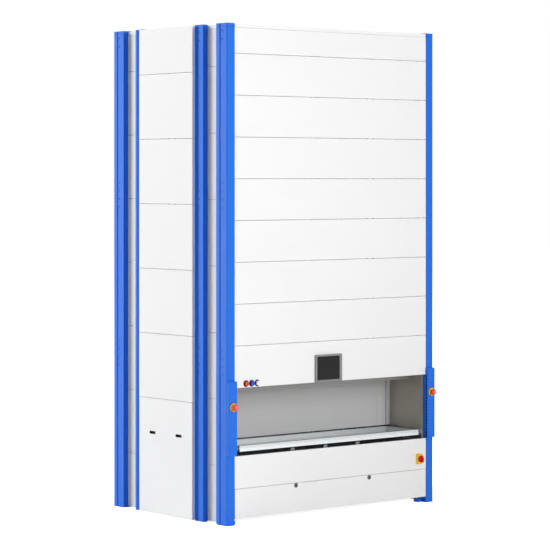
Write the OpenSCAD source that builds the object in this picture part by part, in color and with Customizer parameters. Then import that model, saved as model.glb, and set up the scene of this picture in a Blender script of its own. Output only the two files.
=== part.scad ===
// Vertical lift module: a tall cabinet of trays with a lift between a front and a rear rack.
// Millimetres, +X to the right, +Y to the rear, +Z up, origin on the floor under the middle of the box.

/* [Machine] */
// Width over the outer faces of the corner posts
outer_w = 3378; // [3300:2:3500]
// Depth from the front faces to the rear faces of the corner posts
depth = 2296; // [2290:2:2300]
// Height to the tops of the post caps
height = 6000; // [5900:100:6500]

/* [Posts] */
// Width of a corner post across the front
corner_w = 124; // [120:1:126]
// Depth of a front corner post along the side
front_corner_d = 205; // [195:1:210]
// Depth of a rear corner post along the side
rear_corner_d = 209; // [200:1:212]
// Width of an inner post across the front, which is also the recess beside it
inner_w = 70; // [66:1:74]
// Depth of an inner post along the side
inner_d = 165; // [160:1:170]
// Depth of one rack, from the front face to the lift shaft
rack_d = 620; // [618:1:621]
// Sheet thickness of the folded posts and beams
post_wall = 4; // [3:0.5:5]
// Depth of the rolled groove along the side of a post
groove = 8; // [5:1:9]
// Chamfer along the front edges of the posts
post_chamfer = 8; // [5:1:10]
// Diameter of the joint holes in the sides of the posts
joint_hole_d = 16; // [12:1:20]
// Height of a post cap
cap_h = 42; // [30:2:50]
// Height of the arm of a foot
foot_h = 45; // [40:1:46]

/* [Cladding] */
// Sheet thickness of the panels
sheet = 2; // [1.5:0.5:3]
// Depth of the folded edge of a panel
fold = 25; // [20:1:25]
// Gap between two panels
seam = 5; // [3:1:6]
// Height of a front or rear panel
front_pitch = 500; // [500:1:500]
// Height of a side panel
side_pitch = 800; // [800:1:800]
// How far the shaft panels stand out of the post sides
side_proud = 40; // [30:2:44]
// Height of the bottom edge of the cladding
clad_z = 76; // [60:2:80]

/* [Access bay] */
// Height of the lower edge of the bay, at the top of the lower front panel
bay_z0 = 822; // [815:1:825]
// Height of the upper edge of the bay, at the bottom of the screen panel
bay_z1 = 1638; // [1636:1:1640]
// Height of the joint between the lower panel and the bottom panel
lower_joint_z = 430; // [425:5:440]
// Distance from the outer post face to the inner face of a bay wall
bay_wall_x = 160; // [158:1:161]

/* [Tray] */
// Length of a tray body
tray_l = 2932; // [2926:2:2934]
// Depth of a tray from lip to lip
tray_d = 612; // [610:1:614]
// Height of a tray
tray_h = 70; // [60:1:74]
// Height of the underside of the tray in the bay
tray_z = 870; // [870:1:872]

/* [Controls] */
// Width of the screen frame
screen_w = 432; // [420:2:440]
// Height of the screen frame
screen_h = 335; // [330:1:340]
// Diameter of a push button cap
button_d = 56; // [40:1:60]
// Distance between two push buttons
button_pitch = 87; // [82:1:90]
// Diameter of an emergency stop head
estop_d = 80; // [60:2:90]
// How far an emergency stop head stands out of its cover
estop_proud = 64; // [60:1:80]
// How far the light curtain covers stand out of the posts
cover_proud = 40; // [36:1:44]
// Diameter of a light curtain hole
beam_hole_d = 14; // [8:1:16]
// Number of light curtain holes in a cover
beam_holes = 20; // [16:1:20]

/* [Lift] */
// Radius of the belt pulleys under the belt
pulley_r = 60; // [60:1:60]
// Pitch radius of the extractor sprockets
sprocket_r = 45; // [45:1:45]
// Radius of the guide rollers
roller_r = 24; // [20:1:24]
// Height of the drive shaft
shaft_z = 225; // [225:1:225]
// Vertical distance between two tray levels
level_pitch = 300; // [300:1:300]

/* [Hidden] */
$fn = 48;

// Places along the depth, measured from the front faces of the corner posts
front_proud = cover_proud + estop_proud;
front_y = -(depth + front_proud) / 2 + front_proud;
inner_y0 = rack_d - inner_d;
rear_rack_y = depth - rack_d;
shaft_y = depth / 2;
rear_corner_y = depth - rear_corner_d;
panel_face_y = 3;
side_fold = 55;
side_lap = 22;
side_joint_0 = 1430;
side_top = height - 10;

// Heights of the frame
post_z0 = 12;
cap_seam = 3;
post_top = height - cap_h - cap_seam;
beam_w = 60;
beam_h = 80;
top_beam_z = height - 130;
roof_z = top_beam_z + beam_h;
roof_rim = 40;
base_z = 70;
base_top = base_z + beam_h;

// Joint holes of the posts, two groups of four at a hand's pitch
joint_groups = [1790, 3790];
joint_hole_pitch = 100;
joint_holes_in_group = 4;

// Tray and its seats
tray_front_y = 30;
tray_x = (outer_w - tray_l) / 2;
wing_x = 168;
wing_z = 30;
wing_t = 3;
wing_h = 22;
tray_sheet = 2.5;
weld_gap = 0.1;
seat_gap = 0.3;
ledge_z = tray_z + wing_z - seat_gap;
ledge_x = 128;
ledge_w = 62;
bay_ledge_w = 48;
ledge_t = 4;

// Upright pull channels on the shaft side of every tray, and the trolley pins that stand in them
channel_y = tray_front_y + tray_d + 34;
channel_t = 4;
channel_z = [-42, 18];
pin_r = 7;
pin_gap = 0.5;
pin_z = tray_z - 27;
tray_stroke = depth / 2 - tray_front_y - tray_d / 2;
pin_span = depth - 2 * channel_y - tray_stroke;

// Levels of the racks, in steps from the level of the bay
front_level_0 = 6;
front_level_n = 15;
rear_level_0 = -1;
rear_level_n = 15;
function level_z(i) = tray_z + i * level_pitch;

// Lift carriage and its drive
cheek_x = 85;
cheek_t = 15;
cheek_y0 = 700;
cheek_y1 = depth - cheek_y0;
cheek_z0 = 600;
cheek_z1 = 1090;
roller_z = 1050;
shoe_z = 640;
rail_web = 6;
roller_y = rack_d + rail_web + 0.4 + roller_r;
axle_r = 6;
axle_gap = 0.05;
belt_x0 = 32;
belt_x1 = 68;
belt_t = 6;
belt_gap = 0.3;
top_pulley_z = height - 280;
drive_shaft_r = 20;
sprocket_z = 760;
sprocket_teeth = 18;
chain_link = 2 * sprocket_r * sin(180 / sprocket_teeth);
chain_run = 50;
sprocket_y = (depth - chain_run * chain_link) / 2;
extractor_shaft_r = 15;
chain_x0 = 107;
chain_w = 14;
chain_t = 15;
trolley_x0 = 105;
trolley_x1 = 130;
cross_beam_z = 616;
cross_beam_y = 830;

// Screen, buttons, stops and switch
screen_x = 1380;
screen_z = bay_z1 + 2;
screen_proud = 22;
screen_border = 34;
screen_edge = 24;
button_x = 296;
button_z = 1684;
cover_z0 = 834;
cover_z1 = 1720;
cover_w = corner_w + 8;
cover_back = 28;
cover_r = 11;
cover_t = 3;
beam_y = -21;
beam_pitch = 40;
beam_z0 = 858;
estop_x = 66;
estop_z = 1415;
switch_x0 = 3082;
switch_x1 = 3174;
switch_z0 = 505;
switch_z1 = 635;
lock_z = 400;
lock_x = [1080, 2280];
grip_z = 1005;
grip_y = [894, 1423];
grip_w = 120;
grip_h = 36;

// Colours as the object shows them
blue = [0.12, 0.42, 0.92];
white = [0.95, 0.95, 0.95];
grey = [0.74, 0.75, 0.76];
dark = [0.16, 0.16, 0.17];
steel = [0.66, 0.68, 0.70];
red = [0.85, 0.16, 0.10];
yellow = [0.98, 0.76, 0.12];

// Shared placing: inside these the left front bottom corner of the machine is the origin
module place() translate([-outer_w / 2, front_y, 0]) children();
module both_sides() {
    children();
    translate([outer_w, 0, 0]) mirror([1, 0, 0]) children();
}
module both_racks() {
    children();
    translate([0, depth, 0]) mirror([0, 1, 0]) children();
}

// A box between two corners
module block(a, b) translate(a) cube([b[0] - a[0], b[1] - a[1], b[2] - a[2]]);

// A cylinder along X, Y or Z from a start point
module rod_x(p, r, l) translate(p) rotate([0, 90, 0]) cylinder(r = r, h = l);
module rod_y(p, r, l) translate(p) rotate([-90, 0, 0]) cylinder(r = r, h = l);
module rod_z(p, r, l) translate(p) cylinder(r = r, h = l);

// A profile drawn in (Y, Z) and drawn out along X
module extrude_x(x0, x1) translate([x0, 0, 0]) rotate([90, 0, 90]) linear_extrude(x1 - x0) children();

// A profile drawn in (X, Z) and drawn out along Y
module extrude_y(y0, y1) translate([0, y1, 0]) rotate([90, 0, 0]) linear_extrude(y1 - y0) children();

// A profile turned round an axis along Y, drawn as (radius, height towards the front)
module turned_y(p) translate(p) rotate([90, 0, 0]) rotate_extrude() children();

// A rectangle with round corners
module rounded(a, b, r) {
    translate([a[0] + r, a[1]]) square([b[0] - a[0] - 2 * r, b[1] - a[1]]);
    translate([a[0], a[1] + r]) square([b[0] - a[0], b[1] - a[1] - 2 * r]);
    for (x = [a[0] + r, b[0] - r], y = [a[1] + r, b[1] - r]) translate([x, y]) circle(r = r);
}

// Outline of a wheel with n teeth or fins between a root and a tip radius
function toothed(n, root, tip) = [
    for (i = [0 : n - 1], p = [[0, root], [0.35, root], [0.5, tip], [0.85, tip]])
        p[1] * [cos((i + p[0]) * 360 / n), sin((i + p[0]) * 360 / n)]
];
module toothed_x(x0, x1, y, z, n, root, tip)
    extrude_x(x0, x1) translate([y, z]) polygon(toothed(n, root, tip));

// A folded sheet pan: a skin with four returns, open on the side that axis and sign point away from
module pan_y(a, b) difference() {
    block(a, b);
    block([a[0] + sheet, a[1] + sheet, a[2] + sheet], [b[0] - sheet, b[1] + 1, b[2] - sheet]);
}
module pan_x(a, b) difference() {
    block(a, b);
    block([a[0] + sheet, a[1] + sheet, a[2] + sheet], [b[0] + 1, b[1] - sheet, b[2] - sheet]);
}
module rear_pan(a, b) difference() {
    block(a, b);
    block([a[0] + sheet, a[1] - 1, a[2] + sheet], [b[0] - sheet, b[1] - sheet, b[2] - sheet]);
}

// A hollow beam along X or Y
module beam_x(x0, x1, y, z) extrude_x(x0, x1) difference() {
    translate([y, z]) square([beam_w, beam_h]);
    translate([y + post_wall, z + post_wall]) square([beam_w - 2 * post_wall, beam_h - 2 * post_wall]);
}
module beam_y(x, y0, y1, z, w) extrude_y(y0, y1) difference() {
    translate([x, z]) square([w, beam_h]);
    translate([x + post_wall, z + post_wall]) square([w - 2 * post_wall, beam_h - 2 * post_wall]);
}

// Section of a post seen from above: its outer side at x = 0 has the rolled groove, its front is at y = 0
module post_outline(w, d, g0, g1, grow = 0) {
    c = post_chamfer;
    polygon([
        [-grow, c], [c, -grow], [w - c + grow, -grow], [w + grow, c], [w + grow, d + grow], [-grow, d + grow],
        [-grow, g1 + groove_run], [groove - grow, g1], [groove - grow, g0], [-grow, g0 - groove_run]
    ]);
}
module post_hollow(w, d) {
    c = post_chamfer;
    x0 = groove + post_wall;
    x1 = w - post_wall;
    y0 = post_wall;
    y1 = d - post_wall;
    polygon([[x0, y0 + c], [x0 + c, y0], [x1 - c, y0], [x1, y0 + c], [x1, y1], [x0, y1]]);
}

// One post with its joint holes on the outer side
module post(w, d, g0, g1, hole_y) difference() {
    translate([0, 0, post_z0]) linear_extrude(post_top - post_z0) difference() {
        post_outline(w, d, g0, g1);
        post_hollow(w, d);
    }
    for (z0 = joint_groups, i = [0 : joint_holes_in_group - 1])
        rod_x([-1, hole_y, z0 + i * joint_hole_pitch], joint_hole_d / 2, groove + post_wall + 3);
}

// Flat bottom of the groove in each kind of post, the width of its flanks, and the joint holes in it
front_groove = [64, 138];
rear_groove = [73, 145];
inner_groove = [51, 119];
groove_run = 3;
front_hole_y = 99;
rear_hole_y = 110;
inner_hole_y = 95;

module at_front_corner() both_sides() children();
module at_rear_corner() both_sides() translate([0, depth, 0]) mirror([0, 1, 0]) children();
module at_front_inner() both_sides() translate([0, inner_y0, 0]) children();
module at_rear_inner() both_sides() translate([0, depth - inner_y0, 0]) mirror([0, 1, 0]) children();

module corner_posts() color(blue) place() {
    at_front_corner() post(corner_w, front_corner_d, front_groove[0], front_groove[1], front_hole_y);
    at_rear_corner() post(corner_w, rear_corner_d, rear_groove[0], rear_groove[1], rear_hole_y);
}

module inner_posts() color(blue) place() {
    at_front_inner() post(inner_w, inner_d, inner_groove[0], inner_groove[1], inner_hole_y);
    at_rear_inner() post(inner_w, inner_d, inner_groove[0], inner_groove[1], inner_hole_y);
}

// Cap on a post: a thin neck that shows as a dark line, then the cap itself
module cap(w, d, g0, g1) {
    translate([0, 0, post_top]) linear_extrude(cap_seam) difference() {
        post_outline(w, d, g0, g1, -2);
        translate([20, 20]) square([w - 40, d - 40]);
    }
    translate([0, 0, post_top + cap_seam]) linear_extrude(cap_h) post_outline(w, d, g0, g1);
}

module post_caps() color(blue) place() {
    at_front_corner() cap(corner_w, front_corner_d, front_groove[0], front_groove[1]);
    at_rear_corner() cap(corner_w, rear_corner_d, rear_groove[0], rear_groove[1]);
    at_front_inner() cap(inner_w, inner_d, inner_groove[0], inner_groove[1]);
    at_rear_inner() cap(inner_w, inner_d, inner_groove[0], inner_groove[1]);
}

// Foot: a base plate under the post and an arm inwards for the anchor and the levelling screw
foot_inset = 2;
foot_arm = 70;
foot_arm_y = [80, 154];
foot_chamfer = 12;
anchor_r = 9;
anchor_in = 48;
anchor_y = 100;
screw_r = 10;
screw_in = 22;
screw_y = 134;
nut_r = 17;
nut_h = 11;

module foot(w, d) difference() {
    union() {
        linear_extrude(post_z0) {
            translate([foot_inset, foot_inset]) square([w - 2 * foot_inset, d - 2 * foot_inset]);
            translate([w - foot_inset - 1, foot_arm_y[0]])
                square([foot_inset + 2, foot_arm_y[1] - foot_arm_y[0]]);
        }
        extrude_y(foot_arm_y[0], foot_arm_y[1]) polygon([
            [w, 0], [w + foot_arm, 0], [w + foot_arm, foot_h - foot_chamfer],
            [w + foot_arm - foot_chamfer, foot_h], [w, foot_h]
        ]);
    }
    rod_z([w + anchor_in, anchor_y, -1], anchor_r, foot_h + 2);
    rod_z([w + screw_in, screw_y, -1], screw_r, foot_h + 2);
}

module post_feet() color(blue) place() {
    at_front_corner() foot(corner_w, front_corner_d);
    at_rear_corner() foot(corner_w, rear_corner_d);
    at_front_inner() foot(inner_w, inner_d);
    at_rear_inner() foot(inner_w, inner_d);
}

// Levelling screw: shank in the foot, and a nut and the shank's end above it
module levelling_screw(w) translate([w + screw_in, screw_y, 0]) {
    translate([0, 0, 0.5]) cylinder(r = screw_r - 0.3, h = foot_h + nut_h + 6);
    translate([0, 0, foot_h]) cylinder(r = nut_r, h = nut_h, $fn = 6);
}

module levelling_screws() color(steel) place() {
    at_front_corner() levelling_screw(corner_w);
    at_rear_corner() levelling_screw(corner_w);
    at_front_inner() levelling_screw(inner_w);
    at_rear_inner() levelling_screw(inner_w);
}

// Base and top ladder frames between the posts
tie_x = 78;
rack_tie_x = 132;
tie_w = 34;
end_gap = 0.5;
front_beam_y = 122;
inner_beam_y = inner_y0 + 80;
console_y = [960, 1190];

module ladder(z) {
    both_racks() {
        beam_x(corner_w, outer_w - corner_w, front_beam_y, z);
        beam_x(inner_w, outer_w - inner_w, inner_beam_y, z);
    }
    both_sides() {
        both_racks() beam_y(rack_tie_x, front_beam_y + beam_w + end_gap, inner_beam_y - end_gap, z, tie_w);
        beam_y(tie_x, inner_beam_y + beam_w + end_gap, depth - inner_beam_y - beam_w - end_gap, z, tie_w);
    }
    for (y = console_y) beam_x(tie_x + tie_w + end_gap, outer_w - tie_x - tie_w - end_gap, y, z);
}

module frame_beams() color(steel) place() {
    ladder(base_z);
    ladder(top_beam_z);
}

// Roof sheet with its rim turned up, notched round the posts
roof_gap = 3;
gland_x = outer_w - 260;
gland_y = 400;
gland_r = 10;

// A rectangle across the machine, a distance in from each side and each end
module roof_patch(x, y0, y1, inset)
    translate([x + inset, y0 + inset]) square([outer_w - 2 * x - 2 * inset, y1 - y0 - 2 * inset]);

module roof_outline(inset) {
    roof_patch(inner_w + roof_gap, front_corner_d + roof_gap, rear_corner_y - roof_gap, inset);
    roof_patch(corner_w + roof_gap, panel_face_y, depth - panel_face_y, inset);
    roof_patch(side_fold - side_proud + roof_gap, rack_d + roof_gap, rear_rack_y - roof_gap, inset);
}

module roof_panel() color(white) place() difference() {
    translate([0, 0, roof_z]) linear_extrude(roof_rim) roof_outline(0);
    translate([0, 0, roof_z + sheet]) linear_extrude(roof_rim) roof_outline(sheet);
    rod_z([gland_x, gland_y, roof_z - 1], gland_r + 6, sheet + 2);
}

// Front cladding between the corner posts
module front_pan(z0, z1) pan_y([corner_w, panel_face_y, z0], [outer_w - corner_w, panel_face_y + fold, z1]);

front_joint_0 = bay_z1 + 2 + front_pitch;
front_joints = floor((roof_z - front_joint_0) / front_pitch);

module upper_front_panels() color(white) place() {
    for (i = [0 : front_joints])
        front_pan(front_joint_0 + i * front_pitch + seam / 2,
            min(front_joint_0 + (i + 1) * front_pitch, roof_z) - seam / 2);
}

module screen_panel() color(white) place() difference() {
    front_pan(bay_z1, front_joint_0 - seam / 2);
    block([screen_x + 16, 0, screen_z + 14], [screen_x + screen_w - 16, 40, screen_z + screen_h - 14]);
    for (i = [0 : 2]) rod_y([button_x + i * button_pitch, 0, button_z], 20, 10);
}

module lower_front_panel() color(white) place() difference() {
    front_pan(lower_joint_z + seam / 2, bay_z0);
    rod_y([switch_x, 0, switch_z], 8, 10);
}

// Lift-off service panel under the lower panel, a little narrower than its opening
module bottom_service_panel() color(white) place() difference() {
    pan_y([corner_w + 3, panel_face_y, clad_z],
        [outer_w - corner_w - 3, panel_face_y + fold, lower_joint_z - seam / 2]);
    for (x = lock_x) rod_y([x, 0, lock_z], 16.1, 10);
}

module rear_panels() color(white) place() {
    top = floor((roof_z - clad_z) / front_pitch);
    for (i = [0 : top])
        rear_pan([corner_w, depth - panel_face_y - fold, clad_z + i * front_pitch + seam / 2],
            [outer_w - corner_w, depth - panel_face_y,
                min(clad_z + (i + 1) * front_pitch, roof_z) - seam / 2]);
}

// Shaft panels on the sides, standing out of the posts and lapping the rear inner posts
module side_pan(z0, z1, gap = 0) difference() {
    pan_x([-side_proud, rack_d + gap, z0], [side_fold - side_proud, rear_rack_y + side_lap - gap, z1]);
    block([-end_gap, rear_rack_y - end_gap, z0 - 1], [side_fold, rear_rack_y + side_lap + 1, z1 + 1]);
}

module side_panels() color(white) place() {
    top = floor((side_top - side_joint_0) / side_pitch);
    both_sides() for (i = [0 : top])
        side_pan(side_joint_0 + i * side_pitch + seam / 2,
            min(side_joint_0 + (i + 1) * side_pitch, side_top) - (i < top ? seam / 2 : 0));
    translate([outer_w, 0, 0]) mirror([1, 0, 0]) side_pan(10, side_joint_0 - seam / 2);
}

module side_service_panel() color(white) place() difference() {
    side_pan(12, side_joint_0 - seam / 2, 3);
    for (y = grip_y)
        block([-side_proud - 1, y - grip_w / 2, grip_z - grip_h / 2],
            [-side_proud + sheet + 1, y + grip_w / 2, grip_z + grip_h / 2]);
}

// Recessed panels of the racks, between a corner post and an inner post
rack_joint_0 = 690;
rack_lap = 20;
module rack_pans(y0, y1) {
    top = floor((roof_z - rack_joint_0) / side_pitch);
    pan_x([inner_w, y0, 14], [inner_w + fold, y1, rack_joint_0 - seam / 2]);
    for (i = [0 : top])
        pan_x([inner_w, y0, rack_joint_0 + i * side_pitch + seam / 2],
            [inner_w + fold, y1, min(rack_joint_0 + (i + 1) * side_pitch, roof_z) - seam / 2]);
}

module rack_side_panels() color(grey) place() both_sides() {
    rack_pans(front_corner_d, inner_y0 + rack_lap);
    rack_pans(depth - inner_y0 - rack_lap, rear_corner_y);
}

// Operator's screen: a proud frame with a sloping reveal, and the touch panel set back inside it
screen_y = panel_face_y - screen_proud;
screen_reveal = 14;
glass_back = 9;
screen_body = 70;

module screen_rect(border_x, border_z, r) rounded([screen_x + border_x, screen_z + border_z],
    [screen_x + screen_w - border_x, screen_z + screen_h - border_z], r);

module screen_frame() color(grey) place() difference() {
    extrude_y(screen_y, panel_face_y) screen_rect(0, 0, 6);
    extrude_y(screen_y - 1, panel_face_y + 1) translate([screen_x + screen_border, screen_z + screen_edge])
        square([screen_w - 2 * screen_border, screen_h - 2 * screen_edge]);
    hull() for (slice = [[screen_y - 0.1, screen_reveal], [screen_y + glass_back - 0.1, 0]])
        extrude_y(slice[0], slice[0] + 0.1)
            translate([screen_x + screen_border - slice[1], screen_z + screen_edge - slice[1]])
            square([screen_w - 2 * screen_border + 2 * slice[1], screen_h - 2 * screen_edge + 2 * slice[1]]);
}

module touchscreen() color(dark) place() {
    block([screen_x + screen_border, screen_y + glass_back, screen_z + screen_edge],
        [screen_x + screen_w - screen_border, panel_face_y, screen_z + screen_h - screen_edge]);
    block([screen_x + 20, panel_face_y, screen_z + 18],
        [screen_x + screen_w - 20, panel_face_y + screen_body, screen_z + screen_h - 18]);
}

// Push buttons: a bezel on the panel and a cap that travels in it
module at_button(i) translate([button_x + i * button_pitch, 0, button_z]) children();

// The bezel is a ring with a chamfered lip, and a threaded neck that goes through the panel
bezel_r = button_d / 2 + 6;
module bezel() turned_y([0, panel_face_y, 0]) polygon([
    [12.5, -39], [19.5, -39], [19.5, 0], [bezel_r, 0], [bezel_r, 9], [bezel_r - 3, 12],
    [button_d / 2 + 0.5, 12], [button_d / 2 + 0.5, 5], [12.5, 5]
]);
module button_bezels() color(dark) place() for (i = [0 : 2]) at_button(i) bezel();

module push_button(i) place() at_button(i) {
    rotate([90, 0, 0]) rotate_extrude() polygon([
        [0, -panel_face_y - 20], [12, -panel_face_y - 20], [12, 7], [button_d / 2, 7], [button_d / 2, 27],
        [button_d / 2 - 4, 31], [0, 33]
    ]);
}
module red_button() color(red) push_button(0);
module blue_button() color([0.10, 0.30, 0.85]) push_button(1);
module white_button() color(white) push_button(2);

// Light curtain covers: a channel on the front of each corner post, with beam holes in its inner flank
module cover_section(inset) translate([0, -cover_proud]) difference() {
    rounded([inset, inset], [cover_w - inset, cover_proud + 2 * cover_r], cover_r - inset);
    translate([0, cover_proud]) square([cover_w, 3 * cover_r]);
}

module cover() difference() {
    union() {
        translate([0, 0, cover_z0]) linear_extrude(cover_z1 - cover_z0) cover_section(0);
        block([cover_w - cover_t, -cover_t, cover_z0], [cover_w, cover_back, bay_z1 - 2]);
    }
    translate([0, 0, cover_z0 + cover_t]) linear_extrude(cover_z1 - cover_z0 - 2 * cover_t) {
        cover_section(cover_t);
        translate([cover_t, -1]) square([cover_w - 2 * cover_t, 2]);
    }
    for (i = [0 : beam_holes - 1])
        rod_x([cover_w - cover_t - 1, beam_y, beam_z0 + i * beam_pitch], beam_hole_d / 2, cover_t + 2);
    rod_y([estop_x, -cover_proud - 1, estop_z], stop_neck_r, cover_t + 2);
}

module curtain_covers() color(blue) place() both_sides() cover();

// Light curtain bars inside the covers, with a channel for the lenses behind the holes
curtain_w = 40;
curtain_gap = 0.3;
module light_curtains() color(dark) place() both_sides() difference() {
    x1 = cover_w - cover_t - curtain_gap;
    block([x1 - curtain_w, -cover_proud + cover_r - 1, cover_z0 + 8], [x1, 0, cover_z1 - 8]);
    block([x1 - 4, beam_y - 6, cover_z0 + 16], [x1 + 1, beam_y + 6, beam_z0 + beam_holes * beam_pitch]);
}

// Emergency stops on the covers: a dished yellow collar and a mushroom head on a stem
stop_neck_r = 14;
stem_r = 10;
module at_stop() translate([estop_x, -cover_proud, estop_z]) children();

module estop_collars() color(yellow) place() both_sides() at_stop() turned_y([0, 0, 0]) polygon([
    [stem_r + 0.5, -22], [stop_neck_r - 0.2, -22], [stop_neck_r - 0.2, 0], [50, 0], [52, 4], [52, 10],
    [48, 14], [43, 14], [41, 8], [30, 5], [stem_r + 0.5, 5]
]);

module estop_button() place() at_stop() turned_y([0, 0, 0]) polygon([
    [0, -16], [stem_r, -16], [stem_r, 12], [24, 14], [26, 34], [estop_d / 2 - 3, 35], [estop_d / 2, 39],
    [estop_d / 2, 47], [estop_d / 2 - 3, 53], [estop_d / 2 - 10, estop_proud - 5],
    [estop_d / 2 - 22, estop_proud - 1], [0, estop_proud]
]);
module left_estop_button() color(red) estop_button();
module right_estop_button() color(red) mirror([1, 0, 0]) estop_button();

// Main switch: a yellow block with round corners, a red knob with a grip bar, and its spindle
switch_x = (switch_x0 + switch_x1) / 2;
switch_z = (switch_z0 + switch_z1) / 2;
switch_y = panel_face_y - 40;
spindle_r = 5;
knob_r = 44;

module main_switch_block() color(yellow) place() difference() {
    union() {
        extrude_y(switch_y + 6, panel_face_y) rounded([switch_x0, switch_z0], [switch_x1, switch_z1], 18);
        extrude_y(switch_y, switch_y + 7)
            rounded([switch_x0 + 4, switch_z0 + 4], [switch_x1 - 4, switch_z1 - 4], 14);
    }
    rod_y([switch_x, switch_y - 1, switch_z], spindle_r + 1, 60);
}

module main_switch_knob() color(red) place() {
    turned_y([switch_x, switch_y, switch_z]) polygon([
        [0, 1], [knob_r - 2, 1], [knob_r, 3], [knob_r, 17], [knob_r - 4, 24], [0, 24]
    ]);
    intersection() {
        extrude_y(switch_y - 46, switch_y - 23) polygon([
            [switch_x - 13, switch_z - 43], [switch_x + 13, switch_z - 43],
            [switch_x + 8, switch_z + 43], [switch_x - 8, switch_z + 43]
        ]);
        rod_y([switch_x, switch_y - 47, switch_z], knob_r - 1, 30);
    }
    rod_y([switch_x, switch_y - 23, switch_z], spindle_r, 118);
}

// Cam locks of the bottom service panel, drawn unlocked with the tongue lying level
lock_r = 28;
lock_neck_r = 16;
lock_proud = 12;
tongue_t = 4;
module service_lock(x) color(steel) place() translate([x, panel_face_y, lock_z]) {
    difference() {
        turned_y([0, 0, 0]) polygon([
            [0, -0.3], [lock_r, 0.3], [lock_r, 5], [lock_r - 4, 8], [22, 8], [20, lock_proud], [0, lock_proud]
        ]);
        block([-3, -lock_proud - 1, -12], [3, -lock_proud + 5, 12]);
    }
    rod_y([0, -1, 0], lock_neck_r, fold + 2);
    extrude_y(fold + 1, fold + 1 + tongue_t) {
        square([28, 28], center = true);
        translate([0, -11]) square([42, 22]);
        translate([42, 0]) circle(r = 11);
    }
}
module left_service_lock() service_lock(lock_x[0]);
module right_service_lock() service_lock(lock_x[1]);

// Recessed grips in the side service panel: a cup flush with the skin and a flange behind it
grip_depth = 34;
grip_wall = 3;
module grip_cups() color(dark) place() for (y = grip_y) translate([-side_proud, y, grip_z]) difference() {
    union() {
        block([sheet, -grip_w / 2 - 8, -grip_h / 2 - 8], [sheet + grip_wall, grip_w / 2 + 8, grip_h / 2 + 8]);
        block([0, -grip_w / 2 + 0.2, -grip_h / 2 + 0.2], [grip_depth, grip_w / 2 - 0.2, grip_h / 2 - 0.2]);
    }
    block([-1, -grip_w / 2 + grip_wall, -grip_h / 2 + grip_wall],
        [grip_depth - grip_wall, grip_w / 2 - grip_wall, grip_h / 2 - grip_wall]);
}

// Access bay: side walls, ceiling with a folded front lip, and floor with its sill
bay_wall_y0 = 40;
bay_wall_y1 = 652;
module bay_side_walls() color(grey) place() both_sides() difference() {
    block([corner_w, bay_wall_y0, bay_z0 - 10], [bay_wall_x, bay_wall_y1, bay_z1 + 40]);
    block([corner_w - 1, bay_wall_y0 + sheet, bay_z0 - 10 + sheet],
        [bay_wall_x - sheet, bay_wall_y1 - sheet, bay_z1 + 40 - sheet]);
}

ceiling_z = 1600;
ceiling_y0 = 250;
ceiling_y1 = 638;
lip_h = 32;
lip_up = 18;
module bay_ceiling() color(grey) place() difference() {
    block([bay_wall_x, ceiling_y0, ceiling_z - lip_h],
        [outer_w - bay_wall_x, ceiling_y1, ceiling_z + lip_up]);
    block([bay_wall_x - 1, ceiling_y0 + sheet, ceiling_z - lip_h - 1],
        [outer_w - bay_wall_x + 1, ceiling_y1 + 1, ceiling_z]);
    block([bay_wall_x + sheet, ceiling_y0 + sheet, ceiling_z + sheet],
        [outer_w - bay_wall_x - sheet, ceiling_y1 - sheet, ceiling_z + lip_up + 1]);
}

sill_y0 = 36;
bracket_x = [1060, 1590, 2120];
module bay_floor() color(dark) place() {
    block([corner_w, sill_y0, bay_z0 - 72], [outer_w - corner_w, sill_y0 + 60, bay_z0 - 10]);
    block([bay_wall_x, sill_y0 + 59, bay_z0 - 24], [outer_w - bay_wall_x, 645, bay_z0 - 24 + sheet]);
    for (x = bracket_x) {
        block([x - 30, sill_y0 + 4, bay_z0 - 13], [x + 30, sill_y0 + 44, bay_z0 - 4]);
        block([x - 30, sill_y0 + 4, bay_z0 - 13], [x + 30, sill_y0 + 10, bay_z0 + 34]);
    }
}

// Guides of the inner door: a folded column with a slot and a channel in which the door's edge runs
guide_y0 = 640;
guide_y1 = 660;
guide_t = 3;
slot_x0 = 225;
slot_x1 = 257;
guide_x1 = 280;
guide_top = 2480;
bracket_z = [1760, 2380];
bracket_h = 40;
door_z0 = tray_z + tray_h + 10;
door_z1 = ceiling_z + 10;

module guide_section() {
    translate([bay_wall_x, guide_y0]) square([slot_x0 - bay_wall_x, guide_t]);
    for (x = [slot_x0 - guide_t, slot_x1]) translate([x, guide_y0]) square([guide_t, guide_y1 - guide_y0]);
    translate([slot_x0 - guide_t, guide_y1 - guide_t]) square([guide_x1 - slot_x0 + guide_t + 4, guide_t]);
    translate([slot_x1, guide_y0]) square([guide_x1 - slot_x1, guide_t]);
}

module door_guides() color(grey) place() both_sides() {
    translate([0, 0, door_z0]) linear_extrude(guide_top - door_z0) guide_section();
    for (z = bracket_z) {
        block([inner_w, rack_d - 20, z], [bay_wall_x + 6, rack_d - 4, z + bracket_h]);
        block([bay_wall_x, rack_d - 20, z], [bay_wall_x + 6, guide_y0 + 1, z + bracket_h]);
    }
}

// Inner door: a folded sheet with an upright seal strip near each edge
door_x = slot_x1 + 7;
door_y = 646;
door_t = 10;
seal_x = [292, 385];
module inner_door() color(grey) place() {
    pan_y([door_x, door_y, door_z0], [outer_w - door_x, door_y + door_t, door_z1]);
    both_sides() block([seal_x[0], door_y - 2.5, door_z0], [seal_x[1], door_y + 0.5, door_z1]);
}

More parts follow.
